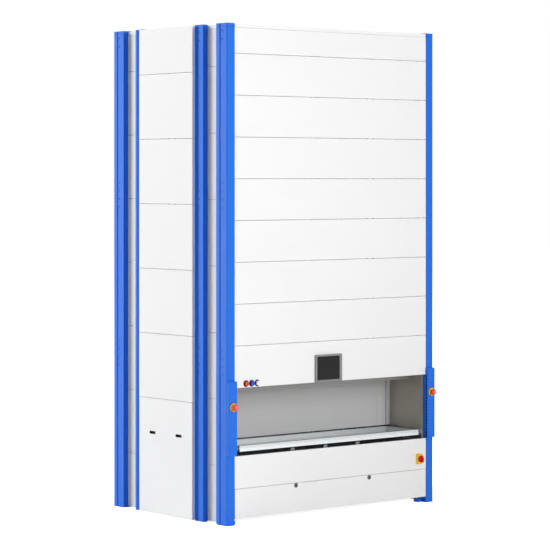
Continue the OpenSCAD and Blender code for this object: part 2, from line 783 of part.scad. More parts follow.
// Door drive over the ceiling: a cross shaft with a toothed pulley at each side, in two bearing plates
door_shaft_y = 598;
door_shaft_z = 1740;
door_shaft_r = 9;
door_plate_x = 300;
door_plate_t = 12;
module door_drive() color(steel) place() {
    both_sides() {
        difference() {
            extrude_x(door_plate_x, door_plate_x + door_plate_t) {
                translate([door_shaft_y, door_shaft_z]) circle(r = 28);
                translate([door_shaft_y - 28, ceiling_z + sheet])
                    square([56, door_shaft_z - ceiling_z - sheet]);
            }
            rod_x([door_plate_x - 1, door_shaft_y, door_shaft_z], door_shaft_r, door_plate_t + 2);
        }
        toothed_x(door_plate_x - 26, door_plate_x - 6, door_shaft_y, door_shaft_z, 28, 31, 34);
    }
    rod_x([door_plate_x - 30, door_shaft_y, door_shaft_z], door_shaft_r - 0.1,
        outer_w - 2 * door_plate_x + 60);
}

// Tray supports: angle ledges at every level of both racks, and in the bay
ledge_h = 40;
ledge_y = [44, 600];
module ledge(x, w, z) extrude_y(ledge_y[0], ledge_y[1]) {
    translate([x, z - ledge_t]) square([w, ledge_t]);
    translate([x, z - ledge_h]) square([ledge_t, ledge_h]);
}

module tray_supports() color(steel) place() both_sides() {
    for (i = [front_level_0 : front_level_n]) ledge(ledge_x, ledge_w, level_z(i) + wing_z - seat_gap);
    translate([0, depth, 0]) mirror([0, 1, 0])
        for (i = [rear_level_0 : rear_level_n]) ledge(ledge_x, ledge_w, level_z(i) + wing_z - seat_gap);
    ledge(bay_wall_x, bay_ledge_w, ledge_z);
    difference() {
        rod_x([bay_wall_x, 66, ledge_z + 12], 30, 6);
        rod_x([bay_wall_x - 1, 66, ledge_z + 16], 7, 8);
    }
}

// Punched strips that carry the supports: flat on the corner posts, a channel on the inner posts
strip_slot_pitch = 150;
module punched_plate(x0, x1, y0, y1, z0, z1) extrude_x(x0, x1) difference() {
    translate([y0, z0]) square([y1 - y0, z1 - z0]);
    for (z = [z0 + 75 : strip_slot_pitch : z1 - 75]) translate([(y0 + y1) / 2 - 7, z]) square([14, 40]);
}

module strip(z0, z1) {
    punched_plate(corner_w, ledge_x, 60, 110, z0, z1);
    punched_plate(ledge_x - 3, ledge_x, 520, 580, z0, z1);
    for (y = [520, 577]) block([inner_w, y, z0], [ledge_x, y + 3, z1]);
}

module rack_strips() color(steel) place() both_sides() {
    strip(bay_z1 + 42, top_beam_z);
    translate([0, depth, 0]) mirror([0, 1, 0]) strip(base_top, top_beam_z);
}

// A tray: a folded pan with a rolled front lip, a wing on each side, and pull channels at the back
lip_r = 10;
lip_low = 36;
lip_back = 12;
rear_wall_h = tray_h - 6;
module tray_section() {
    square([tray_d, tray_sheet]);
    square([tray_sheet, lip_low]);
    translate([0, lip_low - tray_sheet]) square([lip_back, tray_sheet]);
    translate([lip_back - tray_sheet, lip_low - tray_sheet]) square([tray_sheet, tray_h - lip_low - lip_r]);
    translate([lip_r, tray_h - lip_r]) circle(r = lip_r);
    translate([tray_d - tray_sheet, 0]) square([tray_sheet, rear_wall_h]);
    translate([tray_d - 14, rear_wall_h - tray_sheet]) square([14, tray_sheet]);
}

module tray_wing() {
    x1 = tray_x - weld_gap;
    y1 = tray_d - 4;
    block([wing_x, 20, wing_z], [x1, y1, wing_z + wing_t]);
    block([wing_x, 20, wing_z], [wing_x + wing_t, y1, wing_z + wing_h]);
    block([x1 - wing_t, 20, wing_z], [x1, y1, wing_z + wing_h]);
}

// Seen from above: an arm along the tray's side that ends in a channel open to the outside
module pull_channel() {
    x1 = tray_x - 5;
    y = channel_y - tray_front_y;
    inner = pin_r + pin_gap;
    translate([0, 0, channel_z[0]]) linear_extrude(channel_z[1] - channel_z[0]) {
        translate([x1 - channel_t, tray_d - 40]) square([channel_t, y - tray_d + 40 + inner + channel_t]);
        for (dy = [-inner - channel_t, inner]) translate([x1 - 16, y + dy]) square([16, channel_t]);
    }
    block([x1 - 1, tray_d - 36, 2], [tray_x - weld_gap, tray_d - 8, 16]);
}

module tray(z) translate([0, tray_front_y, z]) {
    extrude_x(tray_x, outer_w - tray_x) tray_section();
    both_sides() {
        block([tray_x, 8, 0], [tray_x + tray_sheet, tray_d, tray_h - 8]);
        tray_wing();
        pull_channel();
    }
}

module access_tray() color(steel) place() tray(tray_z);
module front_stored_tray() color(steel) place() tray(level_z(8));
module rear_tray(i) place() translate([0, depth, 0]) mirror([0, 1, 0]) tray(level_z(i));
module lower_rear_tray() color(steel) rear_tray(2);
module upper_rear_tray() color(steel) rear_tray(10);

// Guide rails of the lift: a running flat on the inner post and a side flat that keeps the rollers in
rail_x = 17;
rail_w = 60;
rail_side = 50;
module guide_rails() color(steel) place() both_sides() both_racks()
    translate([rail_x, rack_d, base_top]) linear_extrude(top_beam_z - base_top) {
        square([rail_w, rail_web]);
        translate([0, rail_web + weld_gap]) square([rail_web, rail_side - rail_web]);
    }

// Lift carriage: two cheeks with roller lugs and guide shoes, two cross beams and a belt clamp on each side
module cheek() {
    lug = 30;
    shoe_y = rack_d + rail_web + 0.5;
    difference() {
        union() {
            block([cheek_x, cheek_y0, cheek_z0], [cheek_x + cheek_t, cheek_y1, cheek_z1]);
            both_racks() {
                block([cheek_x, roller_y - 20, roller_z - lug],
                    [cheek_x + cheek_t, cheek_y0 + 1, roller_z + lug]);
                block([cheek_x, shoe_y, shoe_z - lug], [cheek_x + cheek_t, cheek_y0 + 1, shoe_z + lug]);
                block([28, shoe_y, shoe_z - lug], [cheek_x + 1, shoe_y + 24, shoe_z + lug]);
            }
        }
        both_racks() {
            rod_x([cheek_x - 1, roller_y, roller_z], axle_r + axle_gap, cheek_t + 2);
            rod_x([cheek_x - 1, sprocket_y, sprocket_z], extractor_shaft_r + axle_gap, cheek_t + 2);
            block([cheek_x - 1, 900, 700], [cheek_x + cheek_t + 1, 1060, 840]);
            block([cheek_x - 1, 800, 930], [cheek_x + cheek_t + 1, 1030, 1040]);
        }
    }
}

clamp_z0 = 900;
clamp_z1 = 1000;
module belt_clamp() difference() {
    block([22, shaft_y - pulley_r - 36, clamp_z0], [cheek_x, shaft_y - pulley_r + 18, clamp_z1]);
    block([belt_x0 - 1, shaft_y - pulley_r - belt_t - 0.6, clamp_z0 - 1],
        [cheek_x + 1, shaft_y - pulley_r + 0.6, clamp_z1 + 1]);
}

module carriage_frame() color(steel) place() {
    both_sides() {
        cheek();
        belt_clamp();
    }
    both_racks() beam_x(cheek_x + cheek_t, outer_w - cheek_x - cheek_t, cross_beam_y, cross_beam_z);
}

module carriage_tray_rails() color(steel) place() both_sides() {
    block([cheek_x + cheek_t, cheek_y0, ledge_z - ledge_t], [ledge_x + ledge_w, cheek_y1, ledge_z]);
    block([cheek_x + cheek_t, cheek_y0, ledge_z - 34], [cheek_x + cheek_t + ledge_t, cheek_y1, ledge_z - 2]);
}

// Guide rollers: a tyre with chamfered edges and dished sides, on an axle that turns in the cheek
tyre_x0 = 28;
tyre_x1 = 70;
module guide_roller() {
    translate([0, roller_y, roller_z]) rotate([0, 90, 0]) rotate_extrude() polygon([
        [0, tyre_x0 + 4], [15, tyre_x0 + 4], [17, tyre_x0], [roller_r - 2, tyre_x0], [roller_r, tyre_x0 + 2],
        [roller_r, tyre_x1 - 2], [roller_r - 2, tyre_x1], [17, tyre_x1], [15, tyre_x1 - 4], [0, tyre_x1 - 4]
    ]);
    rod_x([tyre_x1 - 6, roller_y, roller_z], axle_r, cheek_x + cheek_t + 12 - tyre_x1);
    rod_x([tyre_x1 - 5, roller_y, roller_z], axle_r + 5, cheek_x - tyre_x1 + 3);
}
module front_guide_rollers() color(dark) place() both_sides() guide_roller();
module rear_guide_rollers() color(dark) place()
    translate([0, depth, 0]) mirror([0, 1, 0]) both_sides() guide_roller();

// Extractor: toothed wheels on shafts, roller chains round them, hook trolleys and motor
plate_t = 3;
tooth_gap = 0.6;
wheel_tip = sprocket_r - 5.6;
wheel_root = sprocket_r - 13;
module sprocket_pair() both_sides() {
    toothed_x(chain_x0 + plate_t + tooth_gap, chain_x0 + chain_w - plate_t - tooth_gap,
        sprocket_y, sprocket_z, sprocket_teeth, wheel_root, wheel_tip);
    rod_x([chain_x0, sprocket_y, sprocket_z], 24, chain_w);
}
module drive_sprockets() color(steel) place() {
    sprocket_pair();
    rod_x([cheek_x - 6, sprocket_y, sprocket_z], extractor_shaft_r, outer_w - 2 * cheek_x + 12);
}
module idler_sprockets() color(steel) place() translate([0, depth, 0]) mirror([0, 1, 0]) {
    sprocket_pair();
    both_sides() rod_x([cheek_x - 6, sprocket_y, sprocket_z], extractor_shaft_r,
        chain_x0 + chain_w - cheek_x + 12);
}

// A closed loop round two centres on the line y at two ends
module loop_section(y, z0, z1, r) {
    for (z = [z0, z1]) translate([y, z]) circle(r = r);
    translate([y - r, z0]) square([2 * r, z1 - z0]);
}

// Point beside the chain's pitch line, u links along it from the front wheel's top, h outwards
chain_turn = sprocket_teeth / 2;
chain_links = 2 * (chain_run + chain_turn);
function chain_point(u, h) =
    u < chain_run ? [chain_link * u, sprocket_r + h] :
    u < chain_run + chain_turn ? chain_arc(chain_run, 90 - (u - chain_run) * 180 / chain_turn, h) :
    u < 2 * chain_run + chain_turn ? [chain_link * (2 * chain_run + chain_turn - u), -sprocket_r - h] :
    chain_arc(0, -90 - (u - 2 * chain_run - chain_turn) * 180 / chain_turn, h);
function chain_arc(run, a, h) = [chain_link * run + (sprocket_r + h) * cos(a), (sprocket_r + h) * sin(a)];

// Outline along one side of the chain: as wide as a plate at each pin, narrow between the pins
function chain_side(wide, waist) = [
    for (i = [0 : chain_links - 1], p = [[-0.3, wide], [0.3, wide], [0.5, waist]])
        chain_point(i + p[0], p[1])
];
module chain_section(wide, waist) translate([sprocket_y, sprocket_z]) difference() {
    polygon(chain_side(wide, waist));
    polygon(chain_side(-wide, -waist));
}

module extractor_chains() color(dark) place() both_sides() {
    for (x = [chain_x0, chain_x0 + chain_w - plate_t])
        extrude_x(x, x + plate_t) chain_section(chain_t / 2, 5);
    extrude_x(chain_x0 + plate_t, chain_x0 + chain_w - plate_t) chain_section(5, 2);
}

module hook_trolleys() color(steel) place() both_sides() {
    block([trolley_x0, channel_y - 8, sprocket_z + sprocket_r + chain_t / 2 + 0.8],
        [trolley_x1, channel_y + pin_span + 8, pin_z + 12]);
    for (y = [0, pin_span]) rod_x([trolley_x1 - 1, channel_y + y, pin_z], pin_r, tray_x - 9 - trolley_x1);
}

// A motor along X: a finned body, an end shield at its foot, a fan cover and a terminal box on its rear side
module motor_x(x0, l, y, z, r) {
    rod_x([x0, y, z], r + 2, 12);
    toothed_x(x0 + 11, x0 + l - 50, y, z, 30, r - 8, r);
    rod_x([x0 + l - 51, y, z], r + 1, 44);
    rod_x([x0 + l - 8, y, z], r - 6, 8);
    block([x0 + 40, y + r * 0.5, z - r * 0.6], [x0 + 40 + 1.4 * r, y + r + 22, z + r * 0.6]);
}

gear_x = outer_w / 2 - 90;
gear_w = 120;
gear_r = 46;
gear_z = cross_beam_z + beam_h;
module extractor_motor() color(dark) place() difference() {
    union() {
        block([gear_x, sprocket_y - 50, gear_z], [gear_x + gear_w, 880, gear_z + 14]);
        extrude_x(gear_x + 10, gear_x + gear_w - 10) {
            translate([sprocket_y, sprocket_z]) circle(r = gear_r);
            translate([sprocket_y - gear_r, gear_z]) square([2 * gear_r, sprocket_z - gear_z]);
            translate([sprocket_y, gear_z]) square([90, 88]);
        }
        motor_x(gear_x + gear_w - 11, 220, sprocket_y + 8, sprocket_z, gear_r);
    }
    rod_x([gear_x - 1, sprocket_y, sprocket_z], extractor_shaft_r + 0.3, 400);
}

// Lift drive: shaft with pulleys at the bottom, pulleys at the top, belts and gearmotor
module belt_pulley(z) {
    toothed_x(belt_x0 - 2, belt_x1 + 2, shaft_y, z, 24, pulley_r - 5, pulley_r);
    for (x = [belt_x0 - 5, belt_x1 + 2]) rod_x([x, shaft_y, z], pulley_r + 12, 3);
}
module lift_drive_shaft() color(steel) place() {
    both_sides() belt_pulley(shaft_z);
    rod_x([belt_x0 - 8, shaft_y, shaft_z], drive_shaft_r, outer_w - 2 * belt_x0 + 16);
}
module top_pulleys() color(steel) place() both_sides() {
    belt_pulley(top_pulley_z);
    rod_x([belt_x0 - 8, shaft_y, top_pulley_z], drive_shaft_r, 108);
}

bearing_x0 = 106;
bearing_x1 = 124;
bearing_r = 38;
bearing_foot = 16;
module bearing(z_foot, z_shaft) difference() {
    extrude_x(bearing_x0, bearing_x1) {
        up = sign(z_shaft - z_foot);
        translate([shaft_y, z_shaft]) circle(r = bearing_r);
        translate([shaft_y - bearing_r, min(z_foot, z_shaft)]) square([2 * bearing_r, abs(z_shaft - z_foot)]);
        translate([console_y[0] + 20, up > 0 ? z_foot : z_foot - bearing_foot])
            square([console_y[1] - console_y[0] + beam_w - 40, bearing_foot]);
    }
    rod_x([bearing_x0 - 1, shaft_y, z_shaft], drive_shaft_r + axle_gap, bearing_x1 - bearing_x0 + 2);
}
module shaft_bearings() color(dark) place() both_sides() {
    bearing(base_top, shaft_z);
    bearing(top_beam_z, top_pulley_z);
}

module lift_belts() color(dark) place() both_sides() extrude_x(belt_x0, belt_x1) difference() {
    loop_section(shaft_y, shaft_z, top_pulley_z, pulley_r + belt_t);
    loop_section(shaft_y, shaft_z, top_pulley_z, pulley_r + belt_gap);
}

gearbox_x0 = 130;
gearbox_x1 = 250;
gearbox_r = 62;
lift_motor_r = 68;
lift_motor_l = 370;
lift_motor_y = 1030;
module lift_gearmotor() color(dark) place() difference() {
    union() {
        block([gearbox_x0, console_y[0], base_top],
            [gearbox_x1, console_y[1] + beam_w, base_top + bearing_foot]);
        extrude_x(gearbox_x0 + 8, gearbox_x1 - 8) {
            for (y = [lift_motor_y, shaft_y]) translate([y, shaft_z]) circle(r = gearbox_r);
            translate([lift_motor_y - gearbox_r, base_top])
                square([shaft_y - lift_motor_y + 2 * gearbox_r, shaft_z - base_top]);
            translate([lift_motor_y, shaft_z - 1]) square([shaft_y - lift_motor_y, gearbox_r]);
        }
        motor_x(gearbox_x1 - 9, lift_motor_l, lift_motor_y, shaft_z + 4, lift_motor_r);
    }
    rod_x([gearbox_x0 - 1, shaft_y, shaft_z], drive_shaft_r + 0.3, 500);
}

// Electrical cabinet behind the service panel, with a door on its front
cabinet_x = 2520;
cabinet_w = 680;
cabinet_y = [64, 312];
cabinet_top = bay_z0 - 90;
module control_cabinet() color(grey) place() {
    difference() {
        block([cabinet_x, cabinet_y[0], base_top], [cabinet_x + cabinet_w, cabinet_y[1], cabinet_top]);
        block([cabinet_x + sheet, cabinet_y[0] + sheet, base_top + sheet],
            [cabinet_x + cabinet_w - sheet, cabinet_y[1] - sheet, cabinet_top - sheet]);
    }
    difference() {
        block([cabinet_x + 12, cabinet_y[0] - sheet, base_top + 12],
            [cabinet_x + cabinet_w - 12, cabinet_y[0], cabinet_top - 12]);
        for (z = [base_top + 100, cabinet_top - 100])
            rod_y([cabinet_x + 40, cabinet_y[0] - 5, z], 11, 4.5);
    }
}

// Cable gland on the roof: the way in for the supply cable
module cable_gland() color(dark) place() translate([gland_x, gland_y, roof_z]) difference() {
    union() {
        translate([0, 0, sheet]) cylinder(r = 23, h = 8, $fn = 6);
        translate([0, 0, sheet + 7]) cylinder(r = 18, h = 25);
        translate([0, 0, -14]) cylinder(r = 15.8, h = 14 + sheet + 1);
        translate([0, 0, -8]) cylinder(r = 22, h = 8, $fn = 6);
    }
    translate([0, 0, -15]) cylinder(r = gland_r, h = 60);
}

corner_posts();
inner_posts();
post_caps();
post_feet();
levelling_screws();
frame_beams();
roof_panel();
upper_front_panels();
screen_panel();
lower_front_panel();
bottom_service_panel();
rear_panels();
side_panels();
side_service_panel();
rack_side_panels();
screen_frame();
touchscreen();
button_bezels();
red_button();
blue_button();
white_button();
curtain_covers();
light_curtains();
estop_collars();
left_estop_button();
right_estop_button();
main_switch_block();
main_switch_knob();
left_service_lock();
right_service_lock();
grip_cups();
bay_side_walls();
bay_ceiling();
bay_floor();
door_guides();
inner_door();
door_drive();
tray_supports();
rack_strips();
access_tray();
front_stored_tray();
lower_rear_tray();
upper_rear_tray();
guide_rails();
carriage_frame();
carriage_tray_rails();
front_guide_rollers();
rear_guide_rollers();
drive_sprockets();
idler_sprockets();
extractor_chains();
hook_trolleys();
extractor_motor();
lift_drive_shaft();
shaft_bearings();
lift_belts();
top_pulleys();
lift_gearmotor();
control_cabinet();
cable_gland();
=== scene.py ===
"""Looks of a vertical lift module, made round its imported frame.

Every sub-assembly of the machine is a class. It gives its pieces of the frame their finishes and adds the
small parts that the frame leaves to this script: screws, seals, rims, lock cores and marks. Lengths are
metres in the frame of the machine, with +X to the right, +Y to the rear and +Z up.
"""

import logging
import math
from abc import ABC, abstractmethod
from dataclasses import dataclass
from enum import Enum
from functools import cache
from typing import Any, Callable, Iterable, Mapping, Sequence

import bmesh
import bpy
from mathutils import Euler, Matrix, Vector


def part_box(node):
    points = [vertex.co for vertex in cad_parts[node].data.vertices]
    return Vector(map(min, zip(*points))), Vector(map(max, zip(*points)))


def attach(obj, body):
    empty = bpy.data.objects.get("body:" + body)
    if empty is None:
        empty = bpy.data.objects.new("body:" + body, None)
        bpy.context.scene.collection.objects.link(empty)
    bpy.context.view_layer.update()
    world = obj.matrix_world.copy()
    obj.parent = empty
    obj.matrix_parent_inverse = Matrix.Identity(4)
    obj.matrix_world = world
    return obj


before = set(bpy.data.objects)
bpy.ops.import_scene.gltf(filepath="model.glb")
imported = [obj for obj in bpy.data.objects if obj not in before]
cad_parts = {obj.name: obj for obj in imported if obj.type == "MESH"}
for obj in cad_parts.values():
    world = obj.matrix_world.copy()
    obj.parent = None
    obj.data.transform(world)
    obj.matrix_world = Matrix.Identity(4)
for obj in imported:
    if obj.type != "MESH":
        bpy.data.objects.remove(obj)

Piece = bpy.types.Object
Tree = bpy.types.NodeTree
Node = bpy.types.Node
Socket = bpy.types.NodeSocket

MM = 0.001
# Distance under which two heights count as one
EPSILON = 1e-6
# Least part of a unit normal along Z at which a face counts as level
FLAT = 0.99
# Values between which most of a noise or of a cell pattern lies
MASK_LOW, MASK_HIGH = 0.25, 0.75
# Sockets of a Mix node in colour mode, which share their names with those of its other modes
MIX_FACTOR, MIX_FIRST, MIX_SECOND, MIX_RESULT = 0, 6, 7, 2
# Radians that a Wave Texture of scale 1 runs through in a metre
WAVE_RATE = 20
log = logging.getLogger("lift_module")


def linear(hex_colour: str) -> tuple[float, float, float, float]:
    """Turns an sRGB colour into the linear values that shaders work in.

    Args:
        hex_colour: Colour as "#rrggbb".

    Returns:
        Linear red, green, blue and an alpha of 1.
    """
    channels = [int(hex_colour[i : i + 2], 16) / 255 for i in (1, 3, 5)]
    red, green, blue = (c / 12.92 if c <= 0.04045 else ((c + 0.055) / 1.055) ** 2.4 for c in channels)
    return red, green, blue, 1.0


def cleared(owner: bpy.types.Material | bpy.types.World) -> Tree:
    """Turns on the nodes of a material or world and clears them away.

    Args:
        owner: The material or world.

    Returns:
        Its empty node tree.
    """
    owner.use_nodes = True
    owner.node_tree.nodes.clear()
    return owner.node_tree


def add_node(
    tree: Tree,
    kind: str,
    values: Mapping[str | int, Any] | None = None,
    links: Mapping[str | int, Socket] | None = None,
    **settings: Any,
) -> Node:
    """Adds a shader node with its settings, its own socket values and what is linked to it.

    Args:
        tree: Node tree of the material or world.
        kind: Blender's name for the node type.
        values: Values to set on input sockets, by socket name or number.
        links: Output sockets to link to input sockets, by socket name or number.
        **settings: Properties of the node itself.

    Returns:
        The new node.
    """
    node = tree.nodes.new(kind)
    for key, setting in settings.items():
        setattr(node, key, setting)
    for key, value in (values or {}).items():
        node.inputs[key].default_value = value
    for key, source in (links or {}).items():
        tree.links.new(source, node.inputs[key])
    return node


@dataclass(frozen=True)
class Coat:
    """A material in the making, and the patterns that can be laid on it.

    Attributes:
        tree: Node tree of the material.
        shader: Shader that takes the patterns.
        place: Object coordinates.
        colour: Main colour, linear.
        roughness: Main roughness.
    """

    tree: Tree
    shader: Node
    place: Socket
    colour: tuple[float, float, float, float]
    roughness: float

    def noise(self, size: float, detail: float = 2.0, place: Socket | None = None) -> Socket:
        """Adds soft noise.

        Args:
            size: Size of one blotch in metres.
            detail: Finer octaves on top of it.
            place: Coordinates to read, if not the coat's own.

        Returns:
            The noise value, about 0.5 on average.
        """
        values = {"Scale": 1 / size, "Detail": detail}
        links = {"Vector": place or self.place}
        return add_node(self.tree, "ShaderNodeTexNoise", values, links).outputs["Fac"]

    def spread(self, mask: Socket, low: float, high: float) -> Socket:
        """Spreads a mask over a range, whose ends it reaches at MASK_LOW and MASK_HIGH."""
        values = {"From Min": MASK_LOW, "From Max": MASK_HIGH, "To Min": low, "To Max": high}
        return add_node(self.tree, "ShaderNodeMapRange", values, {"Value": mask}).outputs["Result"]

    def tone(self, mask: Socket, darkest: float, lightest: float = 1.0) -> None:
        """Lets the colour drift between a darker and a lighter tone of itself.

        Args:
            mask: Value that chooses the tone.
            darkest: Share of the main colour where the mask is low.
            lightest: Share of the main colour where the mask is high.
        """
        share = self.spread(mask, darkest, lightest)
        drifted = add_node(
            self.tree, "ShaderNodeVectorMath", {0: self.colour[:3]}, {"Scale": share}, operation="SCALE"
        )
        self.tree.links.new(drifted.outputs["Vector"], self.shader.inputs["Base Color"])

    def gloss(self, mask: Socket, drift: float) -> None:
        """Lets the roughness drift with a mask, equally far to both sides of its main value."""
        share = self.spread(mask, self.roughness - drift, self.roughness + drift)
        self.tree.links.new(share, self.shader.inputs["Roughness"])

    def relief(self, height: Socket, depth: float, under: Node | None = None) -> Node:
        """Adds relief of a real depth.

        Args:
            height: Value from 0 to 1 for the height.
            depth: Depth in metres between a value of 0 and 1.
            under: Relief that lies under this one.

        Returns:
            The relief node.
        """
        links = {"Height": height}
        if under is not None:
            links["Normal"] = under.outputs["Normal"]
        bump = add_node(self.tree, "ShaderNodeBump", {"Distance": depth, "Strength": 1.0}, links)
        self.tree.links.new(bump.outputs["Normal"], self.shader.inputs["Normal"])
        return bump


@dataclass(frozen=True)
class Finish(ABC):
    """A surface finish of the machine.

    Attributes:
        slot: Material slot of the record, which is also the name of the material.
        colour: Main colour as sRGB hex.
        roughness: How wide the highlight spreads, from 0 to 1.
        metallic: 1 for bare metal and 0 for paint, plastic and rubber.
        specular: Level of the mirror reflection, 0.5 for common paints and plastics.
    """

    slot: str
    colour: str
    roughness: float
    metallic: float = 0.0
    specular: float = 0.5

    def material(self) -> bpy.types.Material:
        """Builds the finish as a material.

        Returns:
            The material, with its pattern laid on Object coordinates.
        """
        material = bpy.data.materials.new(self.slot)
        tree = cleared(material)
        shader = add_node(
            tree,
            "ShaderNodeBsdfPrincipled",
            {
                "Base Color": linear(self.colour),
                "Roughness": self.roughness,
                "Metallic": self.metallic,
                "Specular IOR Level": self.specular,
            },
        )
        place = add_node(tree, "ShaderNodeTexCoord").outputs["Object"]
        self.pattern(Coat(tree, shader, place, linear(self.colour), self.roughness))
        add_node(tree, "ShaderNodeOutputMaterial", links={"Surface": shader.outputs["BSDF"]})
        return material

    @abstractmethod
    def pattern(self, coat: Coat) -> None:
        """Adds what varies over the surface: tone, grain and relief."""


@dataclass(frozen=True)
class Enamel(Finish):
    """Polyester powder coat baked on folded sheet: satin and even, with faint orange peel and slow waves.

    Attributes:
        wave: Length of the slow waves that bending leaves in the sheet.
        wave_depth: Depth of those waves.
        peel: Pitch of the orange peel. It is about 3 mm on the real coat, too fine for a machine of 6 m, so
            it is drawn coarser.
        peel_depth: Depth of the orange peel.
        drift: Share by which the tone drifts over a sheet.
        gloss_drift: How far the roughness drifts to each side.
    """

    wave: float = 700 * MM
    wave_depth: float = 1.2 * MM
    peel: float = 14 * MM
    peel_depth: float = 0.06 * MM
    drift: float = 0.012
    gloss_drift: float = 0.03

    def pattern(self, coat: Coat) -> None:
        """Adds the slow waves, the orange peel and the drift of tone and gloss.

        Args:
            coat: The material in the making.
        """
        slow = coat.noise(self.wave)
        coat.tone(slow, 1 - self.drift)
        coat.gloss(slow, self.gloss_drift)
        waves = coat.relief(slow, self.wave_depth)
        coat.relief(coat.noise(self.peel), self.peel_depth, waves)


@dataclass(frozen=True)
class CapEnamel(Enamel):
    """Powder coat of a post cap, with painted shade: a dark band of colour in the seam under the cap.

    Attributes:
        seam_middle: Height of the middle of the seam.
        seam_half: Half the height of the seam.
        strip: Colour of the strip of painted shade in the seam, which stands in for the shade of the gap.
    """

    seam_middle: float = 5956.5 * MM
    seam_half: float = 1.8 * MM
    strip: str = "#0a1222"

    def pattern(self, coat: Coat) -> None:
        """Adds the pattern of the coat and paints shade into the seam as a dark band.

        Args:
            coat: The material in the making.
        """
        super().pattern(coat)
        tree = coat.tree
        drifted = coat.shader.inputs["Base Color"].links[0].from_socket
        height = add_node(tree, "ShaderNodeSeparateXYZ", links={"Vector": coat.place}).outputs["Z"]
        band = {1: self.seam_middle, 2: self.seam_half}
        # Painted shade: within the seam's height band, the dark colour takes the place of the coat
        seam = add_node(tree, "ShaderNodeMath", band, {0: height}, operation="COMPARE").outputs["Value"]
        both = {MIX_FACTOR: seam, MIX_FIRST: drifted}
        mixed = add_node(tree, "ShaderNodeMix", {MIX_SECOND: linear(self.strip)}, both, data_type="RGBA")
        tree.links.new(mixed.outputs[MIX_RESULT], coat.shader.inputs["Base Color"])


@dataclass(frozen=True)
class ZincSheet(Finish):
    """Hot-dip galvanised steel strip: pale grey metal with a faint spangle and soft handling marks.

    Attributes:
        spangle: Size of one zinc crystal. It is about 8 mm on the real strip and is drawn a little coarser.
        crystal_tone: Share of the main colour in the darkest crystals.
        crystal_gloss: How far the roughness of a crystal drifts to each side.
        handling: Size of one handling mark.
        handling_depth: Depth of the handling marks.
    """

    spangle: float = 22 * MM
    crystal_tone: float = 0.985
    crystal_gloss: float = 0.008
    handling: float = 160 * MM
    handling_depth: float = 0.5 * MM

    def pattern(self, coat: Coat) -> None:
        """Adds the crystals as patches of tone and gloss, and the handling marks.

        Args:
            coat: The material in the making.
        """
        values = {"Scale": 1 / self.spangle, "Randomness": 1.0}
        cells = add_node(coat.tree, "ShaderNodeTexVoronoi", values, {"Vector": coat.place}).outputs["Color"]
        crystal = add_node(coat.tree, "ShaderNodeSeparateColor", links={"Color": cells}).outputs
        coat.tone(crystal["Red"], self.crystal_tone)
        coat.gloss(crystal["Green"], self.crystal_gloss)
        coat.relief(coat.noise(self.handling), self.handling_depth)


@dataclass(frozen=True)
class BrushedSteel(Finish):
    """Cold-rolled or stainless sheet with the fine lines of its rolling direction.

    Attributes:
        line: Pitch of the lines, drawn coarser than the real 0.3 mm so that they show.
        stretch: How many times longer than wide a line is.
        line_detail: Finer lines between the lines.
        line_tone: Share of the main colour in the darkest lines.
        line_gloss: How far the roughness of a line drifts to each side.
        line_depth: Depth of the lines.
        wave: Length of the slow waves in the sheet.
        wave_depth: Depth of those waves.
    """

    line: float = 5 * MM
    stretch: float = 60.0
    line_detail: float = 3.0
    line_tone: float = 0.93
    line_gloss: float = 0.05
    line_depth: float = 0.02 * MM
    wave: float = 500 * MM
    wave_depth: float = 1.0 * MM

    def pattern(self, coat: Coat) -> None:
        """Adds lines drawn out along X and Y, and slow waves.

        Args:
            coat: The material in the making.
        """
        scale = (1 / self.stretch, 1 / self.stretch, 1.0)
        drawn = add_node(coat.tree, "ShaderNodeMapping", {"Scale": scale}, {"Vector": coat.place})
        lines = coat.noise(self.line, self.line_detail, drawn.outputs["Vector"])
        coat.tone(lines, self.line_tone)
        coat.gloss(lines, self.line_gloss)
        waves = coat.relief(coat.noise(self.wave), self.wave_depth)
        coat.relief(lines, self.line_depth, waves)


@dataclass(frozen=True)
class TurnedSteel(Finish):
    """Machined steel, lightly oiled: shafts, rollers, pulleys and bolts, with the marks of the tool.

    Attributes:
        mark: Length of one radian of the marks' wave. They come 16 mm apart, because the real ones, at
            0.2 mm, are too fine to show.
        mark_depth: Depth of the marks.
        wander: How far the marks stray from their line, in radians of their wave.
        wander_detail: Finer octaves of the straying.
        wander_scale: How many times finer the straying is than the scale of the texture.
        oil: Size of one patch of oil.
        oil_tone: Share of the main colour under the most oil.
        oil_gloss: How far the oil moves the roughness to each side.
    """

    mark: float = 2.5 * MM
    mark_depth: float = 0.03 * MM
    wander: float = 0.6
    wander_detail: float = 2.0
    wander_scale: float = 1.5
    oil: float = 45 * MM
    oil_tone: float = 0.82
    oil_gloss: float = 0.08

    def pattern(self, coat: Coat) -> None:
        """Adds rings round X, the axis of every shaft here, and patches of oil.

        Args:
            coat: The material in the making.
        """
        values = {
            "Scale": 1 / (WAVE_RATE * self.mark),
            "Distortion": self.wander,
            "Detail": self.wander_detail,
            "Detail Scale": self.wander_scale,
        }
        links = {"Vector": coat.place}
        bands = {"wave_type": "BANDS", "bands_direction": "X"}
        rings = add_node(coat.tree, "ShaderNodeTexWave", values, links, **bands)
        oil = coat.noise(self.oil)
        coat.tone(oil, self.oil_tone)
        coat.gloss(oil, self.oil_gloss)
        coat.relief(rings.outputs["Fac"], self.mark_depth)


